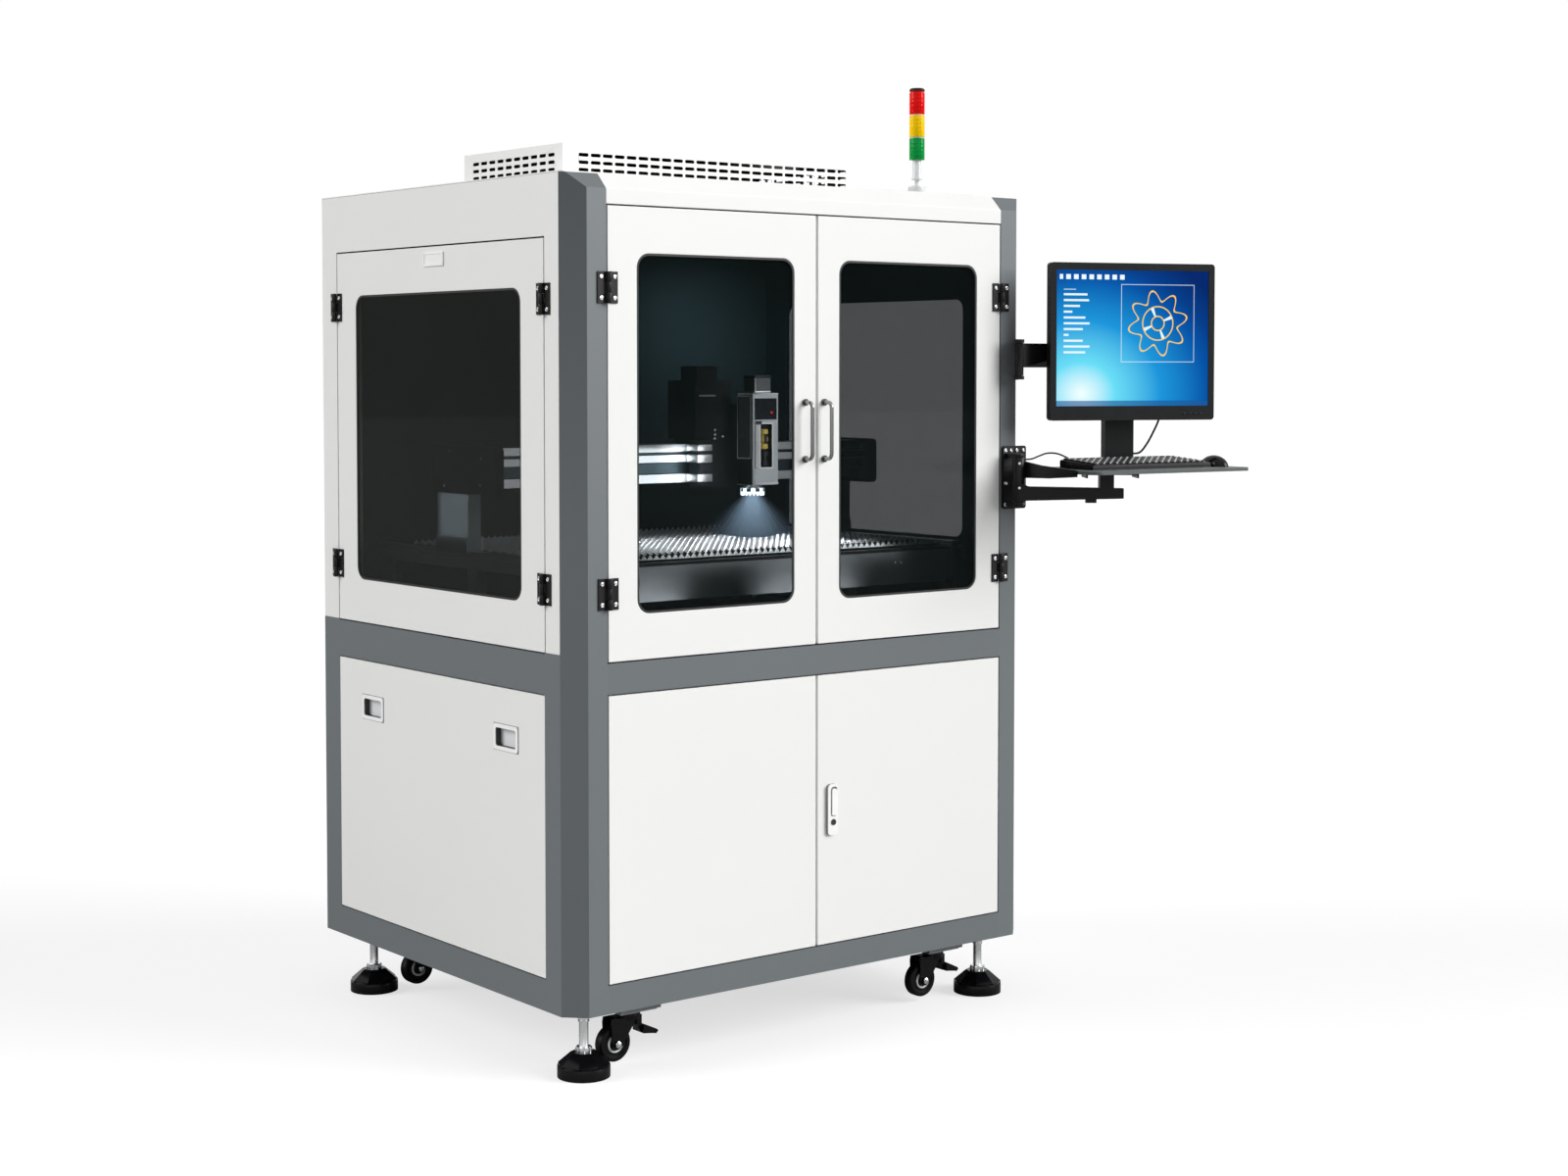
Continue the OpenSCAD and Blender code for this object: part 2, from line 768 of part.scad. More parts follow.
module upper_left_hinges() {
    color("#23272a") home_frame() for (z = [hinge_low, hinge_high])
        translate([front_seam, -hinge_axis, z]) moving_leaf();
}

module upper_right_hinges() {
    color("#23272a") home_frame() for (z = [hinge_low, hinge_high])
        translate([cab_w - front_seam, -hinge_axis, z]) mirror([1, 0, 0]) moving_leaf();
}

module side_door_hinges() {
    color("#23272a") home_frame() for (z = side_hinge_z) {
        translate([-hinge_axis, side_y0 - door_gap / 2, z]) rotate([0, 0, 90])
            mirror([0, 1, 0]) moving_leaf();
        translate([-hinge_axis, side_y1 + door_gap / 2, z]) rotate([0, 0, 90])
            mirror([0, 1, 0]) unpinned_leaf(middle_knuckle, 1);
    }
}

side_h = side_door_top - side_door_z;
side_l = side_y1 - side_y0;
rim_in = 3;

module side_door() {
    ww = side_l - 2 * side_win_edge;
    wh = side_h - 2 * side_win_rise;
    color("#e8ebe8") home_frame() translate([0, side_y0, side_door_z]) {
        difference() {
            union() {
                block([0, 0, 0], [sheet_t, side_l, side_h]);
                block([0, rim_in, 0], [door_t, side_l - rim_in, side_h]);
            }
            block([sheet_t, rim_in + sheet_t, sheet_t],
                [door_t + 1, side_l - rim_in - sheet_t, side_h - sheet_t]);
            yz_plate(side_win_edge, side_win_rise, ww, wh, win_r, -1, sheet_t + 2);
        }
        difference() {
            yz_plate(side_win_edge - glass_lap - 6, side_win_rise - glass_lap - 6,
                ww + 2 * glass_lap + 12, wh + 2 * glass_lap + 12, win_r, sheet_t - eps, door_t - 6);
            yz_plate(side_win_edge - glass_lap, side_win_rise - glass_lap, ww + 2 * glass_lap,
                wh + 2 * glass_lap, win_r, sheet_t - 1, door_t);
        }
    }
}

module side_window() {
    color("#1b2023") home_frame() translate([0, side_y0, side_door_z])
        yz_plate(side_win_edge - glass_lap + 0.1, side_win_rise - glass_lap + 0.1,
            side_l - 2 * side_win_edge + 2 * glass_lap - 0.2,
            side_h - 2 * side_win_rise + 2 * glass_lap - 0.2, win_r, sheet_t, glass_t);
}

// A folded lower door with pivot bores in its top and bottom folds
module lower_door(w) {
    h = lower_z1 - lower_z0;
    difference() {
        block([0, 0, 0], [w, door_t, h]);
        block([sheet_t, sheet_t, sheet_t], [w - sheet_t, door_t + 1, h - sheet_t]);
        translate([pivot_in, pivot_in, -1]) cylinder(r = pivot_r + pin_fit, h = h + 2);
    }
}

module lower_left_door() {
    color("#f1f3f0") home_frame() translate([door_x0, 0, lower_z0]) lower_door(left_door_w);
}

lock_x = door_mid + pair_gap / 2 + 23;
lock_axis_z = lock_z + 28;
lock_r = 6.5;

module lower_right_door() {
    color("#f1f3f0") home_frame() difference() {
        translate([door_x1, 0, lower_z0]) mirror([1, 0, 0]) lower_door(right_door_w);
        rod_y(lock_x + lock_w / 2 + 1, -1, lock_axis_z, lock_r + 2, sheet_t + 2);
    }
}

module lock_plate() {
    color("#b9bdc0") home_frame() difference() {
        union() {
            difference() {
                xz_plate(lock_x, lock_z, lock_w, lock_h, 9, -7, 7);
                xz_plate(lock_x + 7.5, lock_z + 40, lock_w - 9, lock_h - 46, 7, -8, 5);
            }
            // Latch bar in the recess
            xz_plate(lock_x + 9.5, lock_z + 42, lock_w - 13, lock_h - 52, 5, -9.5, 9);
        }
        rod_y(lock_x + lock_w / 2 + 1, -12, lock_axis_z, lock_r + pin_fit, 22);
    }
}

module lock_cylinder() {
    middle = lock_x + lock_w / 2 + 1;
    color("#8f9497") home_frame() difference() {
        union() {
            rod_y(middle, -8.5, lock_axis_z, lock_r, 18.5);
            block([middle - 6, 10, lock_axis_z - 8], [middle + 6, 13, lock_axis_z + 30]);
        }
        block([middle - 0.8, -10, lock_axis_z - 4], [middle + 0.8, -2, lock_axis_z + 4]);
    }
}

// Lift-out panel with two flush pulls, each a bezel around a pocket with an undercut
module pull_pocket() {
    yz_plate(-pull_w / 2 + 8, -pull_h / 2 + 8, pull_w - 16, pull_h - 16, 6, -5, pull_deep + 5 - 3);
    yz_plate(-pull_w / 2 + 8, -pull_h / 2 + 8, pull_w - 16, pull_h - 10, 6, 3, pull_deep - 6);
}

module pull_places() {
    for (y = [side_y0 + pull_in, side_y1 - pull_in - 7])
        translate([0, y, pull_z]) children();
}

module lift_out_panel() {
    color("#e8ebe8") home_frame() difference() {
        union() {
            block([0, side_y0 + 1, panel_z], [panel_t - 0.3, side_y1 - 1, lower_z1 - 2]);
            pull_places() yz_plate(-pull_w / 2, -pull_h / 2, pull_w, pull_h, 8, -2, 4);
        }
        pull_places() pull_pocket();
    }
}

// Running gear

module caster_place(left, front) {
    x = left ? caster_x : cab_w - caster_x;
    y = front ? caster_y : cab_d - caster_back;
    home_frame() translate([x, y, 0]) children();
}

module caster_plates() {
    color("#9a9ea0") for (left = [true, false], front = [true, false]) caster_place(left, front) {
        block([-50, -45, -pad_h], [50, 45, 0]);
        block([-45, -38, -pad_h - plate_t], [45, 38, -pad_h]);
        translate([0, 0, crown_z - crown_h - 4]) cylinder(r = king_r, h = pad_h);
        translate([0, 0, crown_z - crown_h - 4]) cylinder(r = king_r + 3, h = 3.6);
        translate([0, 0, crown_z + 0.3]) cylinder(r = 20, h = 6);
    }
}

module caster_fork() {
    difference() {
        union() {
            translate([0, 0, crown_z - crown_h]) cylinder(r = 24, h = crown_h);
            block([-trail, -ear_gap / 2 - ear_t, crown_z - crown_h],
                [0, ear_gap / 2 + ear_t, crown_z - crown_h + 6]);
            for (s = [-1, 1]) hull_leg(s);
        }
        translate([0, 0, crown_z - crown_h - 1]) cylinder(r = king_r + pin_fit, h = crown_h + 2);
        translate([-trail, 0, axle_z]) rotate([90, 0, 0])
            cylinder(r = wheel_r + 4, h = ear_gap, center = true);
    }
    rod_y(-trail, -ear_gap / 2 - ear_t - 3, axle_z, axle_r, ear_gap + 2 * ear_t + 6);
    for (s = [-1, 1]) rod_y(-trail, s > 0 ? ear_gap / 2 + ear_t : -ear_gap / 2 - ear_t - 4,
        axle_z, 8, 4);
}

module hull_leg(s) {
    y0 = s > 0 ? ear_gap / 2 : -ear_gap / 2 - ear_t;
    translate([0, y0 + ear_t, 0]) rotate([90, 0, 0]) linear_extrude(ear_t)
        polygon([[8, crown_z - crown_h], [8, crown_z - crown_h + 6],
            [-trail - 12, crown_z - crown_h + 6], [-trail - 14, crown_z - crown_h - 4],
            [-trail - 11, axle_z - 6], [-trail - 6, axle_z - 11], [-trail + 6, axle_z - 11],
            [-trail + 12, axle_z - 5]]);
}

module caster_wheel() {
    difference() {
        union() {
            translate([-trail, 0, axle_z]) rotate([90, 0, 0]) rotate_extrude()
                polygon([[0, -wheel_w / 2], [12, -wheel_w / 2], [14, -wheel_w / 2 + 4],
                    [26, -wheel_w / 2 + 4], [28, -wheel_w / 2 + 1], [wheel_r - 3, -wheel_w / 2 + 1],
                    [wheel_r, -wheel_w / 2 + 4], [wheel_r, wheel_w / 2 - 4],
                    [wheel_r - 3, wheel_w / 2 - 1], [28, wheel_w / 2 - 1], [26, wheel_w / 2 - 4],
                    [14, wheel_w / 2 - 4], [12, wheel_w / 2], [0, wheel_w / 2]]);
        }
        rod_y(-trail, -wheel_w, axle_z, axle_r + pin_fit, 2 * wheel_w);
    }
}

// Brake pedal on the front of the fork, turning about a pin along Y
pedal_at = [16, -56];
pedal_r = 6;
pedal_pin_r = 2.5;

module brake_pedal() {
    tongue = [[pedal_at[0] - 2, pedal_at[1] + 5], [pedal_at[0] + 6, pedal_at[1] - 1], [58, -74],
        [61, -78], [56, -83], [46, -81], [pedal_at[0] + 8, -78], [pedal_at[0] - 4, pedal_at[1] - 4]];
    color("#202325") difference() {
        union() {
            rod_y(pedal_at[0], -11.5, pedal_at[1], pedal_r, 23);
            translate([0, 20, 0]) rotate([90, 0, 0]) linear_extrude(40) polygon(tongue);
        }
        rod_y(pedal_at[0], -30, pedal_at[1], pedal_pin_r + pin_fit, 60);
        for (y = [-30, 11.5]) block([0, y, -100], [pedal_at[0] + pedal_r + 2, y + 18.5, 0]);
    }
}

module pedal_lugs() {
    for (y = [-16, 12]) {
        rod_y(pedal_at[0], y, pedal_at[1], pedal_r, 4);
        block([pedal_at[0] - pedal_r, y, pedal_at[1]],
            [pedal_at[0] + pedal_r, y + 4, crown_z - crown_h + 6]);
    }
    rod_y(pedal_at[0], -16, pedal_at[1], pedal_pin_r, 32);
}

module fork_front_left() { color("#c4c7c8") caster_place(true, true) { caster_fork(); pedal_lugs(); } }
module fork_front_right() { color("#c4c7c8") caster_place(false, true) { caster_fork(); pedal_lugs(); } }
module fork_rear_left() { color("#c4c7c8") caster_place(true, false) caster_fork(); }
module fork_rear_right() { color("#c4c7c8") caster_place(false, false) caster_fork(); }
module wheel_front_left() { color("#3a3d3f") caster_place(true, true) caster_wheel(); }
module wheel_front_right() { color("#3a3d3f") caster_place(false, true) caster_wheel(); }
module wheel_rear_left() { color("#3a3d3f") caster_place(true, false) caster_wheel(); }
module wheel_rear_right() { color("#3a3d3f") caster_place(false, false) caster_wheel(); }
module pedal_left() { caster_place(true, true) brake_pedal(); }
module pedal_right() { caster_place(false, true) brake_pedal(); }

// Levelling foot: rubber ring, cone, nuts and a threaded rod into the frame
module levelling_foot() {
    translate([0, 0, -foot_h]) {
        cylinder(r = foot_r, h = foot_ring_h);
        translate([0, 0, foot_ring_h]) cylinder(r1 = foot_r - 1.5, r2 = 24, h = foot_cone_h);
        translate([0, 0, foot_ring_h + foot_cone_h]) cylinder(r = 16, h = 12, $fn = 6);
        cylinder(r = screw_r, h = foot_h + 40);
    }
    translate([0, 0, -18.3]) cylinder(r = 13.5, h = 9, $fn = 6);
    translate([0, 0, -9.3]) cylinder(r = 12, h = 9);
}

module foot_place(left, front) {
    x = left ? foot_in : cab_w - foot_in;
    y = front ? foot_in : cab_d - foot_in;
    color("#26292b") home_frame() translate([x, y, 0]) levelling_foot();
}

module foot_front_left() { foot_place(true, true); }
module foot_front_right() { foot_place(false, true); }
module foot_rear_left() { foot_place(true, false); }
module foot_rear_right() { foot_place(false, false); }

// Work chamber

// Pan with a broad rim that carries the slats and catches what falls through them
module bed_frame() {
    x0 = bed_x;
    x1 = cab_w - bed_x;
    y1 = bed_y + bed_d;
    top = bed_z - bed_rest;
    low = top - apron_h;
    color("#85898c") home_frame() {
        difference() {
            block([x0, bed_y, low], [x1, y1, top]);
            block([x0 + 30, bed_y + 20, low + 4], [x1 - 30, y1 - 20, top + 1]);
        }
        for (x = [x0 + 4, x1 - 44], y = [bed_y + 4, y1 - 44])
            block([x, y, deck_z + deck_t], [x + 40, y + 40, low + 1]);
    }
}

module bed_slat() {
    points = [for (i = [0:tooth_count - 1], k = [0, 1])
        [i * tooth_pitch + k * tooth_pitch / 2, k == 0 ? -tooth_h : 0]];
    rotate([90, 0, 0]) linear_extrude(slat_t) polygon(concat(points,
        [[tooth_count * tooth_pitch, -tooth_h], [tooth_count * tooth_pitch, -bed_rest],
            [tooth_count * tooth_pitch - 24, -bed_rest], [tooth_count * tooth_pitch - 24, -44],
            [24, -44], [24, -bed_rest], [0, -bed_rest]]));
}

module bed_slats() {
    x0 = (cab_w - tooth_count * tooth_pitch) / 2;
    top = bed_z - bed_rest;
    color("#d5d8d9") home_frame() {
        for (i = [0:slat_count - 1])
            translate([x0, bed_y + 25 + slat_t + i * slat_pitch, bed_z]) bed_slat();
        for (x = [x0, cab_w - x0 - 14])
            block([x, bed_y + 22, top], [x + 14, bed_y + 22 + slat_pitch * (slat_count - 1) + 10,
                top + 4]);
    }
}

module y_rails() {
    color("#b9bdbf") home_frame() both_sides() {
        block([rail_x - 22, 130, rail_top - 37], [rail_x + 22, side_y1 - 16, rail_top - 12]);
        yz_rail();
        for (y = [140, 500, side_y1 - 60])
            block([rail_x - 12, y, deck_z + deck_t], [rail_x + 12, y + 40, rail_top - 36]);
    }
}

module yz_rail() {
    translate([rail_x, side_y1 - 20, rail_top - 12]) rotate([90, 0, 0])
        linear_extrude(side_y1 - 20 - 134)
        polygon([[-10, -eps], [10, -eps], [10, 4], [7, 6], [10, 8], [10, 12], [-10, 12], [-10, 8], [-7, 6],
            [-10, 4]]);
}

beam_profile = [[beam_y + 8, beam_z], [beam_y, beam_z], [beam_y, beam_z + 19],
    [beam_y + 8, beam_z + 21], [beam_y + 8, beam_z + 44], [beam_y, beam_z + 46],
    [beam_y, beam_z + 62], [beam_y + 8, beam_z + 64], [beam_y + 8, beam_z + 67],
    [beam_y, beam_z + 69], [beam_y, beam_z + beam_h], [beam_y + beam_d, beam_z + beam_h],
    [beam_y + beam_d, beam_z]];

module gantry_beam() {
    color("#9da1a3") home_frame() {
        yz_profile(beam_profile, rail_x + 8, cab_w - rail_x - 8);
        both_sides() {
            // Truck that straddles the rail
            difference() {
                block([rail_x - 20, truck_y, rail_top - 7],
                    [rail_x + 20, truck_y + truck_l, rail_top + 30]);
                block([rail_x - 10.3, truck_y - 1, rail_top - 8],
                    [rail_x + 10.3, truck_y + truck_l + 1, rail_top + 0.3]);
            }
            block([rail_x - 16, truck_y, rail_top + 29], [rail_x + 16, truck_y + truck_l, beam_z - 13]);
            yz_plate(beam_y - 29, beam_z - 14, beam_d + truck_l + 60, beam_h + 18, 12, rail_x - 8, 16);
        }
    }
}

module head_carriage() {
    x0 = head_x - 156;
    color("#1d2023") home_frame() {
        // Front plate with a lip over and under the beam
        block([x0 + 14, head_back + 4, beam_z - 6], [head_x + head_w / 2 + 4, beam_y - carriage_gap,
            beam_z + beam_h + 10]);
        block([x0 + 14, beam_y - 4, beam_z + beam_h + carriage_gap],
            [head_x + head_w / 2 + 4, beam_y + 50, beam_z + beam_h + 12]);
        block([x0 + 14, beam_y - 4, beam_z - 12],
            [head_x + head_w / 2 + 4, beam_y + 30, beam_z - carriage_gap]);
        // Drive housing above the beam
        block([x0, beam_y - 45, beam_z + beam_h + 12 - eps], [x0 + 100, beam_y + 60, beam_z + 230]);
        block([x0 + 22, beam_y - 20, beam_z + 230 - eps], [x0 + 80, beam_y + 40, beam_z + 262]);
        // Upright guide of the head
        block([head_x - 24, head_back + carriage_gap, beam_z + 4],
            [head_x + 24, head_back + 5, beam_z + beam_h + 90]);
        block([head_x - 30, head_back + 4, beam_z + beam_h + 9],
            [head_x + 30, beam_y - 10, beam_z + beam_h + 90]);
    }
}

module laser_head() {
    x0 = head_x - head_w / 2;
    color("#8e9396") home_frame() {
        difference() {
            block([x0, head_front, head_z], [x0 + head_w, head_back, head_z + head_h]);
            // Upper dark panel and the sight window of the lower plate
            block([x0 + 6, head_front - 1, head_z + 148], [x0 + head_w - 4, head_front + 2,
                head_z + 196]);
            block([x0 + 22, head_front - 1, head_z + 40], [x0 + head_w - 18, head_front + 12,
                head_z + 138]);
        }
        // Motor on top and focus sleeve below
        block([x0 + 14, head_front + 10, head_z + head_h - eps], [x0 + 59, head_back - 6,
            head_z + head_h + 42]);
        translate([lens_x, lens_y, head_z - 8]) cylinder(r = 22, h = 9);
        translate([lens_x, lens_y, head_z - 26]) cylinder(r1 = 9, r2 = 16, h = 18 + eps);
    }
}

module led_ring() {
    color("#f4f8ff") home_frame() translate([lens_x, lens_y, head_z - 20]) {
        difference() {
            cylinder(r = 27, h = 12);
            translate([0, 0, -1]) cylinder(r = 22.4, h = 14);
        }
        for (a = [0:90:270]) rotate([0, 0, a]) block([17, -3, 8], [23, 3, 12]);
    }
}

module laser_source() {
    color("#7d8386") home_frame() {
        top = source_z + source_h;
        slots = floor((source_w - 90) / 50);
        difference() {
            block([source_x, source_y, source_z], [source_x + source_w, source_y + source_d, top]);
            for (i = [0:slots - 1])
                xz_plate(source_x + 50 + 50 * i, source_z + 50, 30, source_h - 110, 6, source_y - 1, 4);
        }
        // Supply on the left, lifting handles on the right
        block([source_x + 50, source_y + 30, top - eps],
            [source_x + source_w * 0.38, source_y + source_d - 30, top + 120]);
        for (x = [source_x + source_w * 0.48, source_x + source_w * 0.8]) difference() {
            block([x, source_y + 70, top - eps], [x + 20, source_y + source_d - 70, top + 34]);
            block([x - 1, source_y + 84, top], [x + 21, source_y + source_d - 84, top + 22]);
        }
    }
}

// Operator station

module arm_bracket() {
    color("#1e2122") home_frame() {
        difference() {
            xz_plate(axis_x - 16, 975, 71, 142, 6, -6, 6);
            for (x = [-9.5, 7, 24.5, 45], z = [985, 1107]) rod_y(axis_x + x, -7, z, 3.6, 8);
            rod_y(axis_x - 9.5, -7, 1033, 3.6, 8);
        }
        for (z = [lug_z0, lug_z1]) lug(z);
        translate([axis_x, axis_y, lug_z0]) cylinder(r = post_pin_r, h = lug_z1 + lug_t - lug_z0);
        // Upper lugs for the monitor stay, on the post's chamfer
        translate([cab_w - corner_c, 0, 0]) rotate([0, 0, 45])
            block([4, -6, stay_z0 - lug_t - 1], [50, 0, stay_z1 + lug_t + 1]);
        for (z = [stay_z0 - lug_t, stay_z1]) translate([0, 0, z]) linear_extrude(lug_t) hull() {
            translate([axis_x, axis_y]) circle(r = 11);
            translate([cab_w - corner_c, 0]) rotate(45) translate([4, -6]) square([30, 4]);
        }
        translate([axis_x, axis_y, stay_z0 - lug_t])
            cylinder(r = post_pin_r, h = stay_z1 - stay_z0 + 2 * lug_t);
    }
}

module lug(z) {
    translate([axis_x, axis_y, z]) cylinder(r = 11, h = lug_t);
    block([axis_x - 8, axis_y, z], [axis_x + 11, -5, z + lug_t]);
}

module sleeve(z0, z1, r) {
    translate([axis_x, axis_y, z0]) cylinder(r = r, h = z1 - z0);
}

module sleeve_bore() {
    translate([axis_x, axis_y, 0]) cylinder(r = post_pin_r + pin_fit, h = 2000);
}

module swing_arm() {
    color("#1e2122") difference() {
        union() {
            home_frame() {
                sleeve(lug_z0 + lug_t + 0.4, lug_z1 - 0.4, sleeve_r);
                translate([axis_x, axis_y, 0]) rotate([0, 0, arm_turn]) {
                    translate([0, 15, 0]) rotate([90, 0, 0]) linear_extrude(30)
                        polygon([[0, 995], [arm_l + 38, 1000], [arm_l + 38, 1023], [22, 1027],
                            [14, 1031], [0, 1034]]);
                    block([arm_l - 46, -8, 990], [arm_l - 22, 8, 1002]);
                    block([arm_l - 16, -16, 1022], [arm_l + 16, 16, tray_z - 5]);
                    block([arm_l - 50, -42, tray_z - 6], [arm_l + 68, 42, tray_z]);
                    for (x = [arm_l - 50, arm_l + 64])
                        block([x, -42, tray_z - 13], [x + 4, 42, tray_z - 5]);
                }
            }
            // Upper link along the tray's side
            tray_frame() yz_profile([[60, tray_z - 6], [150, tray_z - 12], [244, tray_z - 14],
                [244, tray_top + 16], [180, tray_top + 8], [60, tray_top + 1]], -6, -0.05);
        }
        home_frame() sleeve_bore();
    }
}

module tray_frame() {
    home_frame() translate([tray_at[0], tray_at[1], 0]) rotate([0, 0, tray_turn]) children();
}

module keyboard_tray() {
    color("#aeb2b4") tray_frame() translate([0, 0, tray_z]) linear_extrude(tray_t)
        round_rect(tray_w, tray_d, tray_r);
}

module stand_frame() {
    home_frame() translate([stand_xy[0], stand_xy[1], 0]) rotate([0, 0, mon_turn]) children();
}

// The stay's bar runs from the swing axis to the clamp behind the stand's column
stay_end = [-31, column_t / 2 + 5];
stay_reach = stand_xy + [cos(mon_turn) * stay_end[0] - sin(mon_turn) * stay_end[1],
    sin(mon_turn) * stay_end[0] + cos(mon_turn) * stay_end[1]] - [axis_x, axis_y];

module monitor_stay() {
    color("#1e2122") {
        home_frame() difference() {
            union() {
                sleeve(stay_z0 + 0.4, stay_z1 - 0.4, stay_r);
                translate([axis_x, axis_y, 1294])
                    rotate([0, 0, atan2(stay_reach[1], stay_reach[0])])
                    block([0, -3, 0], [norm(stay_reach), 3, 54]);
            }
            sleeve_bore();
        }
        stand_frame() block([-34, column_t / 2, 1294], [30, column_t / 2 + 7, 1344]);
    }
}

module monitor_stand() {
    color("#17191b") {
        tray_frame() translate([stand_at[0] - 95, tray_d - 79, tray_top])
            linear_extrude(10) round_rect(190, 76, 12);
        stand_frame() {
            block([-column_w / 2, -column_t / 2, tray_top + 9], [column_w / 2, column_t / 2,
                tilt_z + 8]);
            rod_x(-22, tilt_y, tilt_z, 9, 44);
            block([-22, tilt_y, tilt_z - 8], [22, 0, tilt_z + 8]);
            rod_x(-34, tilt_y, tilt_z, tilt_pin_r, 68);
        }
    }
}

module monitor() {
    color("#26282a") stand_frame() difference() {
        union() {
            difference() {
                xz_plate(-mon_w / 2, mon_z - mon_h / 2, mon_w, mon_h, 8, mon_front, bezel_t);
                block([-scr_w / 2, mon_front - 1, mon_z - scr_h / 2 + 8],
                    [scr_w / 2, mon_front + 6, mon_z + scr_h / 2 + 8]);
            }
            xz_plate(-100, mon_z - 110, 200, 220, 20, mon_front + bezel_t - eps,
                mon_back - mon_front - bezel_t);
            for (x = [-32, 24]) {
                rod_x(x, tilt_y, tilt_z, 10, 8);
                block([x, mon_back - 1, tilt_z - 10], [x + 8, tilt_y, tilt_z + 10]);
            }
        }
        rod_x(-60, tilt_y, tilt_z, tilt_pin_r + pin_fit, 120);
    }
}

module screen() {
    color("#1b6fc4") stand_frame() block([-scr_w / 2, mon_front + 2, mon_z - scr_h / 2 + 8],
        [scr_w / 2, mon_front + 6, mon_z + scr_h / 2 + 8]);
}

// Keyboard: a wedge with rows of keys
module keyboard() {
    key = 17;
    gap = 2;
    rows = 6;
    columns = floor((key_w - 16) / (key + gap));
    color("#17191b") tray_frame() translate([46, 62, tray_top]) {
        rotate([90, 0, 90]) linear_extrude(key_w)
            polygon([[0, 0], [0, 8], [4, 11], [key_d - 4, 20], [key_d, 17], [key_d, 0]]);
        for (row = [0:rows - 1], i = [0:columns - 1])
            translate([8 + i * (key + gap), 3 + row * (key + gap), 10 + row * 1.45])
                cube([key, row == 5 ? 13 : key, 6]);
    }
}

module mouse() {
    color("#17191b") tray_frame() translate([428, 86, tray_top]) {
        intersection() {
            translate([0, 0, -2]) scale([1, 1.6, 1.1]) sphere(r = 25, $fn = 40);
            block([-40, -60, 0], [40, 60, 60]);
        }
    }
}

// Cables: a tube along hand-chosen points, smoothed by a spline

function spline(p, i, t) = let (
    a = p[max(i - 1, 0)], b = p[i], c = p[i + 1], d = p[min(i + 2, len(p) - 1)])
    0.5 * (2 * b + (c - a) * t + (2 * a - 5 * b + 4 * c - d) * t * t
        + (3 * b - a - 3 * c + d) * t * t * t);
function route(p, n) = concat([for (i = [0:len(p) - 2], k = [0:n - 1]) spline(p, i, k / n)],
    [p[len(p) - 1]]);
function unit(v) = v / norm(v);

module cable(points, r, steps, side_ref) {
    path = route(points, steps);
    count = len(path);
    sides = 8;
    rings = [for (i = [0:count - 1])
        let (t = unit(path[min(i + 1, count - 1)] - path[max(i - 1, 0)]),
            u = unit(cross(t, side_ref)), v = cross(t, u))
        for (k = [0:sides - 1])
            path[i] + r * (cos(360 * k / sides) * u + sin(360 * k / sides) * v)];
    faces = concat([[for (k = [0:sides - 1]) k]],
        [for (i = [0:count - 2], k = [0:sides - 1])
            [i * sides + k, (i + 1) * sides + k, (i + 1) * sides + (k + 1) % sides,
                i * sides + (k + 1) % sides]],
        [[for (k = [sides - 1:-1:0]) (count - 1) * sides + k]]);
    polyhedron(rings, faces);
}

// Route in the stand's own frame: out of the column's side and back in near its foot
monitor_route = [[36.3, 0, 1302], [60, 0, 1303], [90, 0, 1290], [108, 0, 1252], [112, 0, 1212],
    [106, 0, 1176], [92, 0, 1146], [76, 0, 1119], [58, 0, 1099], [36.8, 0, 1096]];

module monitor_cable() {
    color("#111314") stand_frame() cable(monitor_route, 2.5, 5, [0, 1, 0]);
}

// Route in the tray's own frame: from the keyboard's back to the top of the arm's sleeve
keyboard_route = [[100, 176.5, 1080], [99.4, 190, 1082], [89, 203, 1091], [70, 214, 1100],
    [48, 222, 1101], [28, 227, 1095], [12, 231, 1089], [-2.94, 237.59, 1087.5]];

module keyboard_cable() {
    color("#111314") tray_frame() cable(keyboard_route, 2, 5, [0, 0, 1]);
}

base_frame();
chamber_lining();
side_surround();
fixed_panels();
roof_hood();
vent_box();
right_window();
cabinet_hinge_leaves();
caster_plates();
lamp_pole();
lamp_lenses();
bed_frame();
bed_slats();
y_rails();
arm_bracket();
laser_source();
upper_left_door();
upper_left_window();
upper_left_handle();
upper_left_hinges();
upper_right_door();
upper_right_window();
upper_right_handle();
upper_right_hinges();
side_door();
side_window();
side_door_hinges();
lower_left_door();
lower_right_door();
lock_plate();
lock_cylinder();
lift_out_panel();
fork_front_left();
fork_front_right();
fork_rear_left();
fork_rear_right();
wheel_front_left();
wheel_front_right();
wheel_rear_left();
wheel_rear_right();
pedal_left();
pedal_right();
foot_front_left();
foot_front_right();
foot_rear_left();
foot_rear_right();
gantry_beam();
head_carriage();
laser_head();
led_ring();
swing_arm();
keyboard_tray();
monitor_stay();
monitor_stand();
monitor();
screen();
keyboard();
mouse();
monitor_cable();
keyboard_cable();
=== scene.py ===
"""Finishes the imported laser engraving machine: coats, fine pieces, cables, camera and studio."""
import json
import math

import bmesh
import bpy
from mathutils import Matrix, Vector

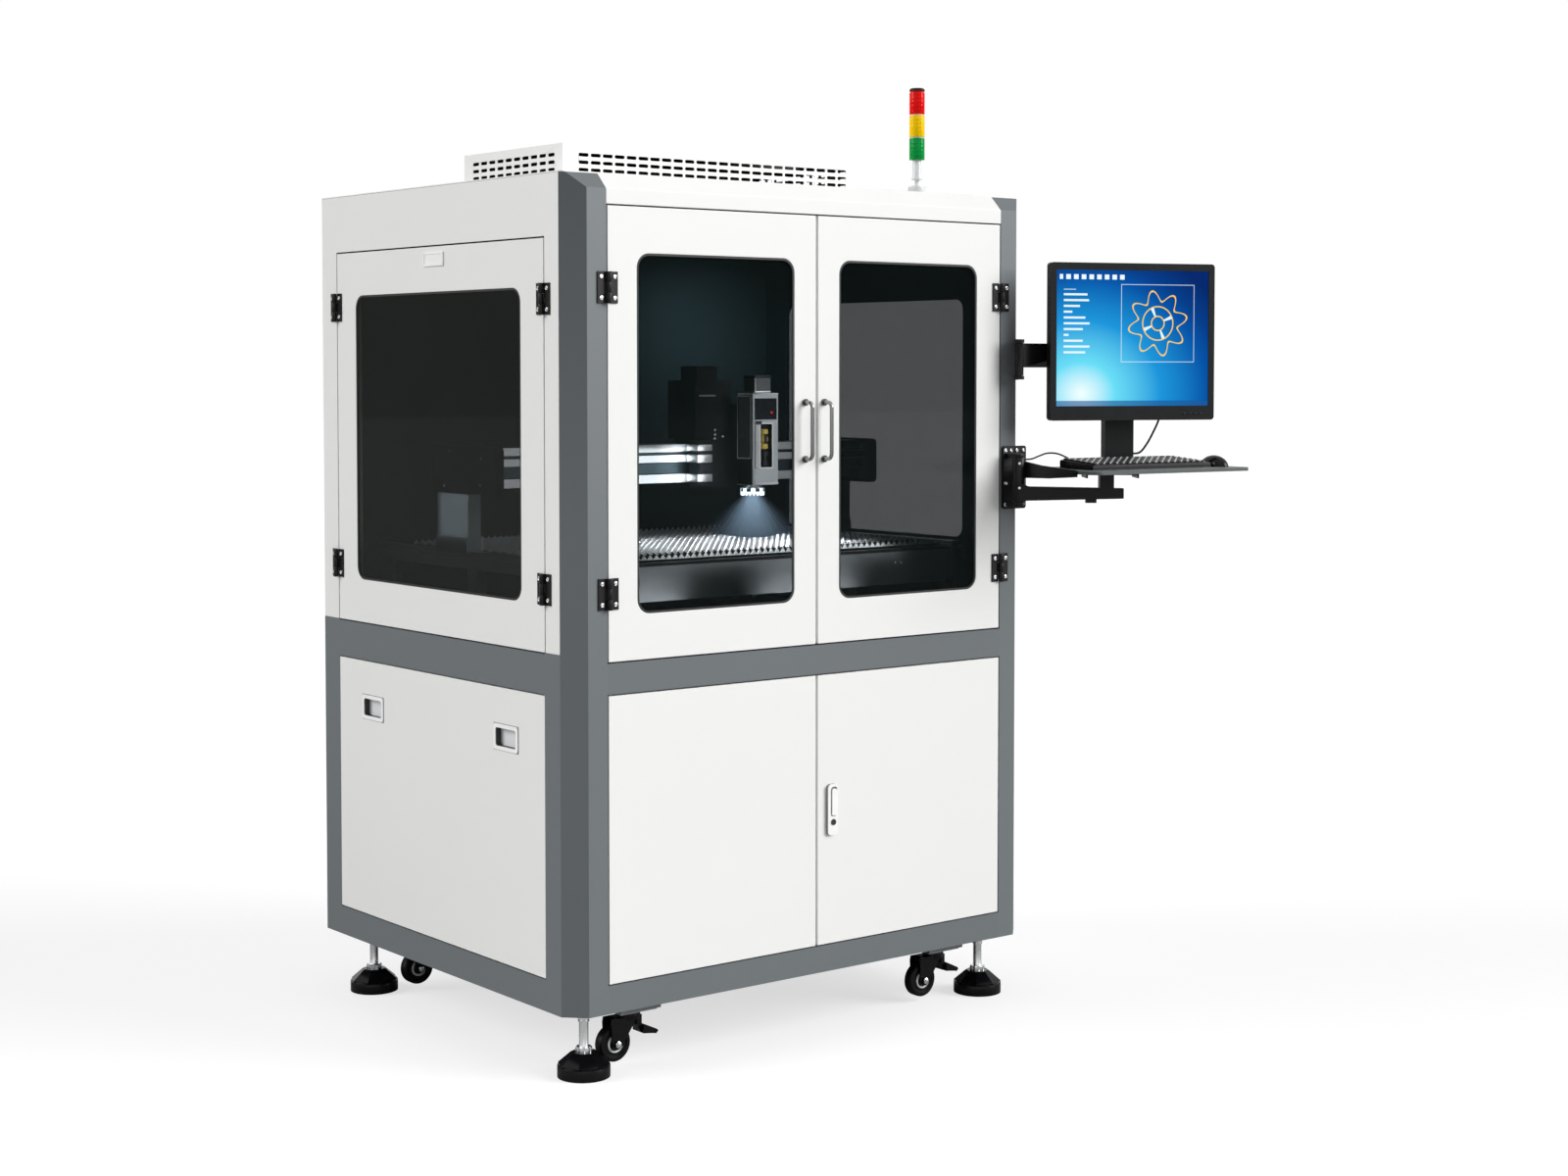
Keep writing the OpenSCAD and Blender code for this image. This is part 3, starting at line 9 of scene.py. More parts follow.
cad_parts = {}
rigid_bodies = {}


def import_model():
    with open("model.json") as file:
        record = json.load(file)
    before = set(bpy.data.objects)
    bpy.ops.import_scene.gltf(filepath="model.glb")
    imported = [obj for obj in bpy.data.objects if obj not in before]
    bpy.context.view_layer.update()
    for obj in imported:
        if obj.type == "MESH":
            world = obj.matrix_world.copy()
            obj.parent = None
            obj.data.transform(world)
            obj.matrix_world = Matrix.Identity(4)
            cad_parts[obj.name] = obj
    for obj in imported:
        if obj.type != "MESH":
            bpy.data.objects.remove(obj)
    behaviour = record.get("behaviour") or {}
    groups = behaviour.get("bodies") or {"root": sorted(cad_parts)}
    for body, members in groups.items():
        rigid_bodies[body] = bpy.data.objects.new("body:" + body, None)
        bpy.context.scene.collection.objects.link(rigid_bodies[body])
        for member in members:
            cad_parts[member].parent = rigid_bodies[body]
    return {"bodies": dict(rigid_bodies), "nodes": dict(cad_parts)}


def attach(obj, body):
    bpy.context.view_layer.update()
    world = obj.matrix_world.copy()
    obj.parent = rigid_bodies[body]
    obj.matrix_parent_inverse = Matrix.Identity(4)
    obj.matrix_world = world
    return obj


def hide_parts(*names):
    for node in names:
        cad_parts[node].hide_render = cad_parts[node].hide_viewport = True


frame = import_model()

bl_info = {
    "name": "Laser Engraving Machine Finish",
    "version": (1, 0, 0),
    "blender": (4, 5, 0),
    "location": "View3D > Sidebar > Engraver",
    "description": "Coats, fasteners, cables and light for the enclosed laser engraving machine",
    "category": "Object",
}

# The CAD draws the cabinet from its front left lower corner, in millimetres.
HOME = Vector((-819.9965, -351.6531, 140.0))
CAB_W, CAB_D, CAB_H = 1240.0, 1027.0, 1680.0
# Origins and turns about Z of the monitor's stand and of the keyboard's tray
STAND, STAND_TURN = (1441.378, -86.069), -20.0
TRAY, TRAY_TURN = (1168.0, -285.0), -5.0
# The middle of the laser's lens in plan, and the foot of its light ring
LENS = (743.0, 381.0)
RING_Z = 1006.0

# Heights and widths of the CAD's shapes at which a finish changes
CHAMBER_Z = (720.0, 1674.0)
SKIN = (1.2, 1.6)
POST_W = 87.0
VENT_INSIDE = {"x": (63.2, 826.8), "y": (121.2, 498.8), "z": (None, 1741.6)}
PULLS_Y, PULL_Z = (243.0, 802.0), 535.0
PULL_HALF_W, PULL_HALF_H = 48.5, 28.5
PULL_FACE, PULL_BACK = 0.3, 12.3
PAD_FOOT_Z = -22.1
FOOT_NUT_Z = -91.0
LENS_GREEN_TOP, LENS_AMBER_TOP, LENS_RED_TOP = 1801.0, 1851.0, 1902.0
LENS_X = 955.0
RING_BAND_TOP = 1012.6
SCREEN_Z = 1360.0
KEYS_START, KEY_PITCH, KEY_RISE, KEY_TOP_Z = (54.0, 65.0), 19.0, 1.45, 1081.8

MATT_BLACK = (0.012, 0.013, 0.014)
COOL = (0.93, 0.97, 1.0)
CORNERS = ("front_left", "front_right", "rear_left", "rear_right")


def at(x, y, z):
    """A place given in the cabinet's own millimetres, in the row frame's metres."""
    return (Vector((x, y, z)) + HOME) / 1000.0


def mm(value):
    return value / 1000.0


def turned_at(origin, turn, x, y, z):
    """A place given in a frame with its own origin and turn about Z."""
    a = math.radians(turn)
    return at(origin[0] + x * math.cos(a) - y * math.sin(a),
              origin[1] + x * math.sin(a) + y * math.cos(a), z)


def on_stand(x, y, z):
    return turned_at(STAND, STAND_TURN, x, y, z)


def on_tray(x, y, z):
    return turned_at(TRAY, TRAY_TURN, x, y, z)


# Settings

class EngraverColours(bpy.types.PropertyGroup):
    front: bpy.props.FloatVectorProperty(
        name="Front sheets", description="Powder coat of the doors and the roof", subtype="COLOR",
        size=3, min=0.0, max=1.0, default=(0.89, 0.895, 0.880))
    side: bpy.props.FloatVectorProperty(
        name="Side sheets", description="Powder coat of the side and rear sheets", subtype="COLOR",
        size=3, min=0.0, max=1.0, default=(0.87, 0.875, 0.855))
    frame: bpy.props.FloatVectorProperty(
        name="Frame", description="Powder coat of the welded frame", subtype="COLOR",
        size=3, min=0.0, max=1.0, default=(0.157, 0.174, 0.183))
    glass: bpy.props.FloatVectorProperty(
        name="Glass tint", description="Tint of the laser-safe windows", subtype="COLOR",
        size=3, min=0.0, max=1.0, default=(0.004, 0.007, 0.007))
    lamp: bpy.props.FloatVectorProperty(
        name="Work light", description="Colour of the ring light at the head", subtype="COLOR",
        size=3, min=0.0, max=1.0, default=(0.72, 0.88, 1.0))


class EngraverSizes(bpy.types.PropertyGroup):
    edge: bpy.props.FloatProperty(
        name="Edge rounding", description="Radius of the rounded sheet edges", default=0.0009,
        min=0.0, max=0.003, unit="LENGTH")
    tint: bpy.props.FloatProperty(
        name="Glass density", description="Share of light that each face of a window keeps back",
        default=0.5, min=0.0, max=1.0, subtype="FACTOR")
    screw: bpy.props.FloatProperty(
        name="Hinge screw head", description="Radius of the screw heads on the hinges", default=0.0046,
        min=0.003, max=0.006, unit="LENGTH")
    seal: bpy.props.FloatProperty(
        name="Window seal", description="Width of the rubber seal around the windows", default=0.0045,
        min=0.002, max=0.008, unit="LENGTH")
    cone: bpy.props.FloatProperty(
        name="Light cone", description="Strength of the haze under the ring light", default=1.0,
        min=0.0, max=4.0)


def sizes():
    return bpy.context.scene.engraver_sizes


def colours():
    return bpy.context.scene.engraver_colours


# Shader maths

class Sock:
    """A shader socket that takes part in sums, products and comparisons."""

    def __init__(self, finish, socket):
        self.finish = finish
        self.socket = socket

    def maths(self, operation, *values, clamp=False):
        node = self.finish.node("ShaderNodeMath", {"operation": operation, "use_clamp": clamp},
                                dict(enumerate(values)))
        return Sock(self.finish, node.outputs[0])

    def __add__(self, other):
        return self.maths("ADD", self, other)

    __radd__ = __add__

    def __sub__(self, other):
        return self.maths("SUBTRACT", self, other)

    def __rsub__(self, other):
        return self.maths("SUBTRACT", other, self)

    def __mul__(self, other):
        return self.maths("MULTIPLY", self, other)

    __rmul__ = __mul__

    def __truediv__(self, other):
        return self.maths("DIVIDE", self, other)

    def __abs__(self):
        return self.maths("ABSOLUTE", self)

    def __lt__(self, other):
        return self.maths("LESS_THAN", self, other)

    def __gt__(self, other):
        return self.maths("GREATER_THAN", self, other)

    def most(self, other):
        return self.maths("MAXIMUM", self, other)

    def sine(self):
        return self.maths("SINE", self)

    def root(self):
        return self.maths("SQRT", self)

    def fract(self):
        return self.maths("FRACT", self)

    def floor(self):
        return self.maths("FLOOR", self)

    def clamped(self):
        return self.maths("ADD", self, 0.0, clamp=True)

    def rise(self, low, high):
        """0 below low and 1 above high, straight between them."""
        node = self.finish.node("ShaderNodeMapRange", {"clamp": True},
                                {0: self, 1: low, 2: high, 3: 0.0, 4: 1.0})
        return Sock(self.finish, node.outputs[0])


FINISHES = {}


class Finish:
    """A node material for one kind of surface."""

    def __init__(self, name, **constants):
        self.material = bpy.data.materials.new(name)
        self.material.use_nodes = True
        self.tree = self.material.node_tree
        self.shader = self.tree.nodes["Principled BSDF"]
        self.places = {}
        for socket, value in constants.items():
            self.shader.inputs[socket.replace("_", " ")].default_value = value
        FINISHES[name] = self

    def node(self, kind, settings=None, inputs=None):
        """Adds a node: its settings first, then the values or links of its sockets."""
        node = self.tree.nodes.new(kind)
        for key, value in (settings or {}).items():
            if key == "stops":
                ramp = node.color_ramp
                while len(ramp.elements) < len(value):
                    ramp.elements.new(0.5)
                for element, (where, colour) in zip(ramp.elements, value):
                    element.position = where
                    element.color = tuple(colour) + (1.0,) * (4 - len(colour))
            else:
                setattr(node, key, value)
        for key, value in (inputs or {}).items():
            self.join(value, node.inputs[key])
        return node

    def join(self, value, socket):
        if isinstance(value, Sock):
            self.tree.links.new(value.socket, socket)
        elif isinstance(value, bpy.types.NodeSocket):
            self.tree.links.new(value, socket)
        else:
            if socket.type == "RGBA" and len(value) == 3:
                value = tuple(value) + (1.0,)
            socket.default_value = value

    def set(self, **links):
        for socket, value in links.items():
            self.join(value, self.shader.inputs[socket.replace("_", " ")])

    def out(self, node, key=0):
        return Sock(self, node.outputs[key])

    def object_place(self):
        if "object" not in self.places:
            self.places["object"] = self.out(self.node("ShaderNodeTexCoord"), "Object")
        return self.places["object"]

    def place(self):
        """x, y and z on the machine, in the cabinet's own millimetres."""
        if "mm" not in self.places:
            split = self.node("ShaderNodeSeparateXYZ", None, {0: self.object_place()})
            self.places["mm"] = [self.out(split, i) * 1000.0 - HOME[i] for i in range(3)]
        return self.places["mm"]

    def turned_place(self, origin, turn):
        """The first two of place() in a frame with its own origin and turn about Z."""
        x, y, z = self.place()
        cosine, sine = math.cos(math.radians(turn)), math.sin(math.radians(turn))
        right, back = x - origin[0], y - origin[1]
        return right * cosine + back * sine, back * cosine - right * sine

    def within(self, **spans):
        """1 in a box on the machine and 0 outside; a span is (low, high), None for an open side."""
        tests = []
        for axis, socket in zip("xyz", self.place()):
            low, high = spans.get(axis, (None, None))
            if low is not None:
                tests.append(socket > low)
            if high is not None:
                tests.append(socket < high)
        inside = tests[0]
        for test in tests[1:]:
            inside = inside * test
        return inside

    def noise(self, scale, detail=3.0, rough=0.55, stretch=(1.0, 1.0, 1.0)):
        vector = self.object_place()
        if stretch != (1.0, 1.0, 1.0):
            vector = self.out(self.node("ShaderNodeVectorMath", {"operation": "MULTIPLY"},
                                        {0: vector, 1: stretch}))
        node = self.node("ShaderNodeTexNoise", None,
                         {"Vector": vector, "Scale": scale, "Detail": detail, "Roughness": rough})
        return self.out(node, 0)

    def cells(self, scale):
        node = self.node("ShaderNodeTexVoronoi", None, {"Vector": self.object_place(), "Scale": scale})
        return self.out(node, 0)

    def mix(self, mask, low, high):
        """Colour low where the mask is 0, and high where it is 1."""
        node = self.node("ShaderNodeMix", {"data_type": "RGBA"}, {0: mask, 6: low, 7: high})
        return self.out(node, 2)

    def shade(self, colour, amount):
        """The colour made lighter or darker by a number around 1."""
        node = self.node("ShaderNodeVectorMath", {"operation": "SCALE"}, {0: colour, 3: amount})
        return self.out(node, 0)

    def bump(self, height, strength, distance):
        node = self.node("ShaderNodeBump", None,
                         {"Height": height, "Strength": strength, "Distance": distance})
        self.set(Normal=self.out(node, 0))


class Backdrop(Finish):
    """The node tree of the studio's surroundings."""

    def __init__(self, name):
        self.world = bpy.data.worlds.new(name)
        self.world.use_nodes = True
        self.tree = self.world.node_tree
        self.places = {}


def finish(name):
    return FINISHES[name].material


def powder_coat(name, colour, rough=0.42, grain=900.0, change=None, **extra):
    """Sprayed powder: faint orange peel, slow change of tone and a little soil in the pores."""
    f = Finish(name, Roughness=rough, **extra)
    slow = f.noise(2.3, 2.0)
    fine = f.noise(grain, 2.0)
    base = change(f, colour) if change else colour
    f.set(Base_Color=f.shade(base, 0.985 + 0.03 * slow + 0.02 * (fine - 0.5)),
          Roughness=(rough - 0.04) + 0.08 * f.noise(14.0, 3.0))
    f.bump(fine * 0.6 + f.cells(grain * 0.45) * 0.4, 0.35, 0.00006)


def bare_metal(name, colour, rough=0.28, stretch=(1.0, 1.0, 1.0), scale=420.0, change=None):
    """Ground or drawn metal with fine directional marks and handling smears."""
    f = Finish(name, Metallic=1.0, Roughness=rough)
    marks = f.noise(scale, 4.0, 0.7, stretch)
    smear = f.noise(9.0, 3.0)
    base = change(f, colour) if change else colour
    f.set(Base_Color=f.shade(base, 0.90 + 0.12 * marks + 0.06 * smear),
          Roughness=(rough - 0.08) + 0.16 * marks + 0.08 * smear)
    f.bump(marks, 0.25, 0.00004)
    return f


def moulded(name, colour, rough=0.35, grain=1300.0, change=None, **extra):
    """Moulded plastic or rubber with a spark-eroded grain and dusty hollows."""
    f = Finish(name, Roughness=rough, **extra)
    fine = f.noise(grain, 2.0)
    dust = f.noise(26.0, 4.0)
    base = change(f, colour) if change else colour
    f.set(Base_Color=f.shade(base, 0.92 + 0.12 * dust + 0.05 * fine),
          Roughness=(rough - 0.05) + 0.12 * dust)
    f.bump(fine, 0.3, 0.00005)
    return f


def glow(name, body, light, strength):
    """A small lit lens."""
    f = Finish(name, Roughness=0.3, Emission_Strength=strength)
    f.set(Base_Color=f.shade(body, 0.9 + 0.2 * f.noise(300.0)),
          Emission_Color=f.shade(light, 0.9 + 0.2 * f.noise(400.0)))


def pane(name, tint, alpha, specular, painted_glow=(0.0, 0.0, 0.0), strength=0.0):
    """A window with faint streaks, which may give off a faint painted glow."""
    f = Finish(name, Roughness=0.03, IOR=1.45, Alpha=alpha, Specular_IOR_Level=specular,
               Emission_Strength=strength)
    streak = f.noise(3.0, 3.0)
    f.set(Base_Color=f.shade(tint, 0.8 + 0.4 * streak), Roughness=0.02 + 0.03 * streak,
          Emission_Color=f.shade(painted_glow, 0.9 + 0.2 * streak))


def patch(colour, **spans):
    """A change of a finish: another colour inside a box on the machine."""
    return lambda f, base: f.mix(f.within(**spans), base, colour)


def make_coats():
    """Powder coats of the cabinet, the chamber, the station and the running gear."""
    c = colours()
    white, side, grey = tuple(c.front), tuple(c.side), tuple(c.frame)

    def sheet_lined(f, colour):
        # The sheets of the chamber are matt black on their inner face
        x, y, z = f.place()
        inner = x.rise(*SKIN) * (CAB_W - x).rise(*SKIN) * (CAB_D - y).rise(*SKIN)
        return f.mix(inner * f.within(z=CHAMBER_Z), colour, MATT_BLACK)

    def roof_lined(f, colour):
        # The last test is the inner side of the bevel, a plane where y - z is constant
        x, y, z = f.place()
        inner = f.within(y=(3.2, None), z=(None, 1677.4)) * (y - z > -1644.0)
        return f.mix(inner, colour, MATT_BLACK)

    def pull_pockets(f, colour):
        # White bezels with grey sides and black pocket walls, both painted shade, and a pale back
        x, y, z = f.place()
        first, second = (abs(y - middle) < PULL_HALF_W for middle in PULLS_Y)
        near = (first + second).clamped() * (abs(z - PULL_Z) < PULL_HALF_H)
        for depth, tone in (((None, PULL_FACE), (0.97, 0.97, 0.965)),
                            ((-1.3, PULL_FACE), (0.33, 0.335, 0.34)),
                            ((PULL_FACE, PULL_BACK), (0.020, 0.021, 0.022)),
                            ((PULL_BACK, None), (0.80, 0.82, 0.83))):
            colour = f.mix(near * f.within(x=depth), colour, tone)
        return colour

    def frame_with_painted_light(f, colour):
        # Painted light on the front face of the posts, brighter higher up, and painted shade on the front
        # left chamfer, darker higher up; dark inside the chamber
        x, y, z = f.place()
        inside = f.within(x=(30.0, CAB_W - 30.0), y=(62.0, CAB_D - 8.0), z=(712.0, None))
        post = (y < 0.6) * ((x < POST_W) + (x > CAB_W - POST_W)).clamped()
        corner = (x + y < 40.8) * z.rise(950.0, CAB_H)
        chamfer_painted_shade = f.mix(corner * 0.75, colour, (0.090, 0.103, 0.108))
        lit = f.mix(post * (0.1 + 0.9 * z.rise(700.0, CAB_H)), chamfer_painted_shade, (0.215, 0.235, 0.247))
        return f.mix(inside, lit, (0.02, 0.022, 0.024))

    def bed_rim(f, colour):
        # Only the front sheet is grey
        x, y, z = f.place()
        return f.mix(((z > 881.0) + (y > 118.6)).clamped(), colour, MATT_BLACK)

    powder_coat("coat_front", white)
    powder_coat("coat_side", side)
    powder_coat("coat_side_lined", side, change=sheet_lined)
    powder_coat("coat_roof", white, change=roof_lined)
    powder_coat("coat_vent", white, change=patch((0.010, 0.010, 0.011), **VENT_INSIDE))
    powder_coat("coat_pull_panel", side, change=pull_pockets)
    powder_coat("coat_frame", grey, rough=0.46, change=frame_with_painted_light, Specular_IOR_Level=0.25)
    powder_coat("coat_lining", (0.010, 0.013, 0.014), rough=0.55, Specular_IOR_Level=0.12)
    powder_coat("coat_hinge", (0.006, 0.006, 0.006), rough=0.33, grain=1500.0, Specular_IOR_Level=0.3)
    powder_coat("coat_station", (0.005, 0.005, 0.005), rough=0.36, grain=1400.0, Specular_IOR_Level=0.28)
    powder_coat("coat_caster", (0.004, 0.004, 0.004), rough=0.28, Specular_IOR_Level=0.2)
    powder_coat("coat_unit", (0.17, 0.185, 0.20), rough=0.5)
    powder_coat("coat_carriage", (0.006, 0.007, 0.008), rough=0.42, Specular_IOR_Level=0.3)
    powder_coat("coat_bed", (0.165, 0.175, 0.182), rough=0.42, change=bed_rim, Specular_IOR_Level=0.12)
    powder_coat("silver_paint", (0.74, 0.75, 0.76), rough=0.3)
    powder_coat("yellow_paint", (0.86, 0.62, 0.10), rough=0.3)


def make_metals():
    """Ground, drawn and plated metals."""
    def slat_tips(f, colour):
        # Painted shade: the slats' flanks are dark and only their bright teeth are clear; on the two slats
        # behind the first the painted shade reaches up to their tips
        x, y, z = f.place()
        unshaded_tips = ((z > 892.5) * ((y < 155.0) + (y > 240.0)) + (z > 899.5)).clamped()
        return f.mix(unshaded_tips, (0.014, 0.015, 0.016), colour)

    def beam_profile(f, colour):
        # Bright rail faces, dark bluish grooves of painted shade, black end plates and grey risers
        x, y, z = f.place()
        ends = ((x < 108.2) + (x > 1040.0)).clamped()
        groove_shade = f.within(y=(451.0, 459.0), z=(1036.0, 1120.0))
        lit = f.mix(ends, f.mix(groove_shade, colour, (0.055, 0.080, 0.094)), (0.010, 0.010, 0.011))
        return f.mix(f.within(x=(None, 118.0), z=(None, 1020.0)), lit, (0.30, 0.33, 0.35))

    def head_panels(f, colour):
        # Dark upper panel, recess and top on a silver body
        x, y, z = f.place()
        upper = f.within(x=(725.3, 788.7), y=(None, 352.4), z=(1176.0, 1224.2))
        recess = f.within(y=(350.6, None), z=(1030.0, 1233.0))
        top = z > 1233.9
        dark = f.mix(top, (0.016, 0.017, 0.019), (0.13, 0.137, 0.143))
        return f.mix((upper + recess + top).clamped(), colour, dark)

    # The casters' welded pads are sprayed with the frame, the plates below them are plated
    pads = patch(tuple(colours().frame), z=(PAD_FOOT_Z, None))
    f = bare_metal("metal_zinc", (0.30, 0.315, 0.33), rough=0.42, scale=160.0, change=pads)
    f.set(Metallic=f.within(z=(None, PAD_FOOT_Z)))

    collars = patch((0.10, 0.102, 0.105), y=(-5.2, None))
    bare_metal("metal_handle", (0.34, 0.345, 0.35), rough=0.16, stretch=(1.0, 1.0, 0.15), change=collars)
    bare_metal("metal_lock", (0.10, 0.102, 0.105), rough=0.3, stretch=(1.0, 1.0, 0.2))
    bare_metal("metal_bright", (0.80, 0.81, 0.82), rough=0.16)
    bare_metal("metal_screw", (0.88, 0.89, 0.90), rough=0.2, scale=900.0)
    bare_metal("metal_chrome", (0.93, 0.94, 0.95), rough=0.14, scale=700.0)
    bare_metal("metal_slat", (0.84, 0.86, 0.88), rough=0.34, stretch=(0.15, 1.0, 1.0), change=slat_tips)
    bare_metal("metal_rail", (0.62, 0.64, 0.66), rough=0.26, stretch=(1.0, 0.1, 1.0))
    bare_metal("metal_dark", (0.05, 0.052, 0.056), rough=0.35)
    bare_metal("metal_beam", (0.78, 0.80, 0.82), rough=0.32, stretch=(0.1, 1.0, 1.0), change=beam_profile)
    bare_metal("metal_guard", (0.78, 0.80, 0.82), rough=0.32, stretch=(0.1, 1.0, 1.0))
    bare_metal("metal_head", (0.50, 0.53, 0.55), rough=0.34, stretch=(1.0, 1.0, 0.2), change=head_panels)


def make_plastics():
    """Moulded plastics, rubber and laminate."""
    def key_marks(f, colour):
        # A pale mark on the front half of each key's top; each row is higher than the one before
        u, v = (along - start for along, start in zip(f.turned_place(TRAY, TRAY_TURN), KEYS_START))
        u, v = u * (1.0 / KEY_PITCH), v * (1.0 / KEY_PITCH) + 0.02
        tops = f.place()[2] - v.floor() * KEY_RISE > KEY_TOP_Z
        mark = tops * (u.fract() > 0.26) * (u.fract() < 0.52) * (v.fract() < 0.50)
        return f.mix(mark, colour, (0.60, 0.61, 0.62))

    def lens_bands(f, colour):
        # Green, amber and red with pale joints between them, and a dark cap
        x, y, z = f.place()
        warm = f.mix(z > LENS_AMBER_TOP, (0.96, 0.60, 0.0), (0.80, 0.004, 0.004))
        lit = f.mix(z > LENS_GREEN_TOP, (0.0, 0.30, 0.05), warm)
        low, high = (f.within(z=(top - 1.4, top + 0.8)) for top in (LENS_GREEN_TOP, LENS_AMBER_TOP))
        jointed = f.mix((low + high).clamped(), lit, (0.80, 0.80, 0.78))
        return f.mix(z > LENS_RED_TOP, jointed, (0.03, 0.02, 0.02))

    # Rubber ring and cone below, plated nuts and rod above
    metal = (FOOT_NUT_Z, None)
    f = moulded("foot_parts", (0.004, 0.004, 0.004), rough=0.26,
                change=patch((0.90, 0.91, 0.92), z=metal), Specular_IOR_Level=0.22)
    f.set(Metallic=f.within(z=metal))

    moulded("tyre", (0.004, 0.004, 0.004), rough=0.36, Specular_IOR_Level=0.16)
    moulded("plastic_monitor", (0.008, 0.009, 0.010), rough=0.34, Specular_IOR_Level=0.3)
    moulded("plastic_gloss", (0.003, 0.003, 0.004), rough=0.16, Specular_IOR_Level=0.2)
    moulded("key_plastic", (0.004, 0.004, 0.005), rough=0.28, change=key_marks, Specular_IOR_Level=0.3)
    moulded("plate_white", (0.96, 0.96, 0.95), rough=0.34)
    # Painted shade: grey flanks and recess around the white latch bar
    recess = patch((0.30, 0.305, 0.31), y=(-6.3, None))
    moulded("lock_white", (0.96, 0.96, 0.95), rough=0.34, change=recess)
    moulded("rubber_seal", (0.010, 0.010, 0.010), rough=0.5)
    moulded("cable_skin", (0.012, 0.012, 0.012), rough=0.42, grain=700.0)
    moulded("tray_laminate", (0.115, 0.125, 0.125), rough=0.42, Specular_IOR_Level=0.3)

    # The signal tower's lenses have prisms moulded inside
    f = moulded("signal_lenses", (0.01, 0.4, 0.1), rough=0.18, change=lens_bands, Specular_IOR_Level=0.12)
    x, y, z = f.place()
    f.bump(abs((x - LENS_X) * 0.9).sine() * 0.5 + (z * 0.7).sine() * 0.5, 0.35, 0.0008)


def make_panes_and_lamps():
    """Window panes and everything that glows, the screen apart."""
    tint, lamp = tuple(colours().glass), tuple(colours().lamp)
    pane("window_glass", tint, sizes().tint, 0.15)
    # The side door's pane is the darkest, and the right-hand pane the bluest; both give off a faint painted
    # glow, white on the side pane and blue on the right-hand one
    pane("window_side", tint, 0.64, 0.07, (1.0, 1.0, 0.88), 0.011)
    pane("window_far", (0.003, 0.007, 0.010), sizes().tint, 0.22, (0.0, 0.55, 1.0), 0.02)

    glow("red_glow", (0.6, 0.02, 0.02), (1.0, 0.03, 0.02), 1.6)
    glow("status_glow", (0.8, 0.8, 0.8), (0.9, 0.95, 1.0), 0.8)

    f = Finish("ring_glow", Roughness=0.4, Emission_Strength=7.0)
    led = abs(f.noise(260.0, 1.0) - 0.5)
    f.set(Base_Color=(0.9, 0.95, 1.0), Emission_Color=f.shade(lamp, 0.85 + 0.5 * led))

    # The light ring: a bright lower band, and bright posts on a dark hub above it
    f = Finish("ring_posts", Roughness=0.4, Emission_Strength=7.0)
    x, y, z = f.place()
    band = z < RING_BAND_TOP
    posts = (y.maths("ARCTAN2", y - LENS[1], x - LENS[0]) * 8.0).sine() > 0.0
    f.set(Base_Color=f.mix(band, (0.05, 0.06, 0.07), (0.9, 0.95, 1.0)),
          Emission_Color=f.mix((band + posts).clamped(), (0.006, 0.012, 0.02), lamp))


def make_screen_finish():
    """A lit display: blue field, brighter low on the left, with the outline of a cutting path."""
    f = Finish("screen_picture", Roughness=0.18, Emission_Strength=1.0, Specular_IOR_Level=0.05)
    u = f.turned_place(STAND, STAND_TURN)[0]
    v = f.place()[2] - SCREEN_Z
    du, dv = u + 128.0, (v + 125.0) * 1.2
    lit = 1.0 - (du * du + dv * dv).root().rise(0.0, 420.0)
    field = f.node("ShaderNodeValToRGB", {"stops": [
        (0.0, (0.0, 0.020, 0.15)), (0.15, (0.0, 0.045, 0.25)), (0.25, (0.0, 0.085, 0.38)),
        (0.53, (0.01, 0.30, 0.70)), (0.80, (0.14, 0.72, 0.92)), (1.0, (0.88, 1.0, 1.0))]}, {0: lit})
    # A rosette as a cutting path, drawn by two rings and a wavy one, with spokes and a frame
    pu, pv = u - 62.0, v - 34.0
    far = (pu * pu + pv * pv).root()
    angle = pu.maths("ARCTAN2", pv, pu)
    wave = 62.0 + 12.0 * (angle * 8.0).sine()
    path = (abs(far - wave) < 2.0) + (abs(far - 38.0) < 1.4) + (abs(far - 16.0) < 1.4)
    spokes = ((angle * 4.0).sine() > 0.90) * (far > 17.0) * (far < 37.0)
    box_u, box_v = abs(pu), abs(pv)
    work_area = ((box_u < 92.0) * (box_v < 88.0)) - ((box_u < 90.6) * (box_v < 86.6))
    # Tool buttons along the top, position bars on the left, status strip at the foot
    cell = (u * (1.0 / 19.0)).fract()
    buttons = (cell > 0.25) * (cell < 0.85) * (v > 132.0) * (v < 143.0) * (u < -20.0) * (u > -182.0)
    line = v * (1.0 / 13.0)
    row = line.fract()
    length = -160.0 + 52.0 * abs((line.floor() * 2.4).sine())
    bars = (row > 0.35) * (row < 0.72) * (u > -172.0) * (v > -40.0) * (v < 110.0) * (length > u)
    colour = f.out(field, 0)
    for mask, paint in ((path.clamped(), (0.98, 0.62, 0.10)), (spokes, (0.75, 0.93, 0.98)),
                        (work_area.clamped() * 0.8, (0.80, 0.93, 0.98)), (buttons, (0.86, 0.95, 0.98)),
                        (bars, (0.78, 0.93, 0.98)), ((v < -141.0) * 0.75, (0.01, 0.10, 0.34))):
        colour = f.mix(mask, colour, paint)
    f.set(Base_Color=f.shade(colour, 0.02), Emission_Color=colour)


def make_finishes():
    for make in (make_coats, make_metals, make_plastics, make_panes_and_lamps, make_screen_finish):
        make()


# Modelling helpers

def select_only(*objects):
    """Selects these objects alone, in object mode, and makes the first one active."""
    if bpy.context.object and bpy.context.object.mode != "OBJECT":
        bpy.ops.object.mode_set(mode="OBJECT")
    bpy.ops.object.select_all(action="DESELECT")
    for o in objects:
        o.select_set(True)
    bpy.context.view_layer.objects.active = objects[0]


def edit(obj, kind="FACE"):
    """Enters edit mode on one piece with nothing selected."""
    select_only(obj)
    bpy.ops.object.mode_set(mode="EDIT")
    bpy.ops.mesh.select_mode(type=kind)
    bpy.ops.mesh.select_all(action="DESELECT")


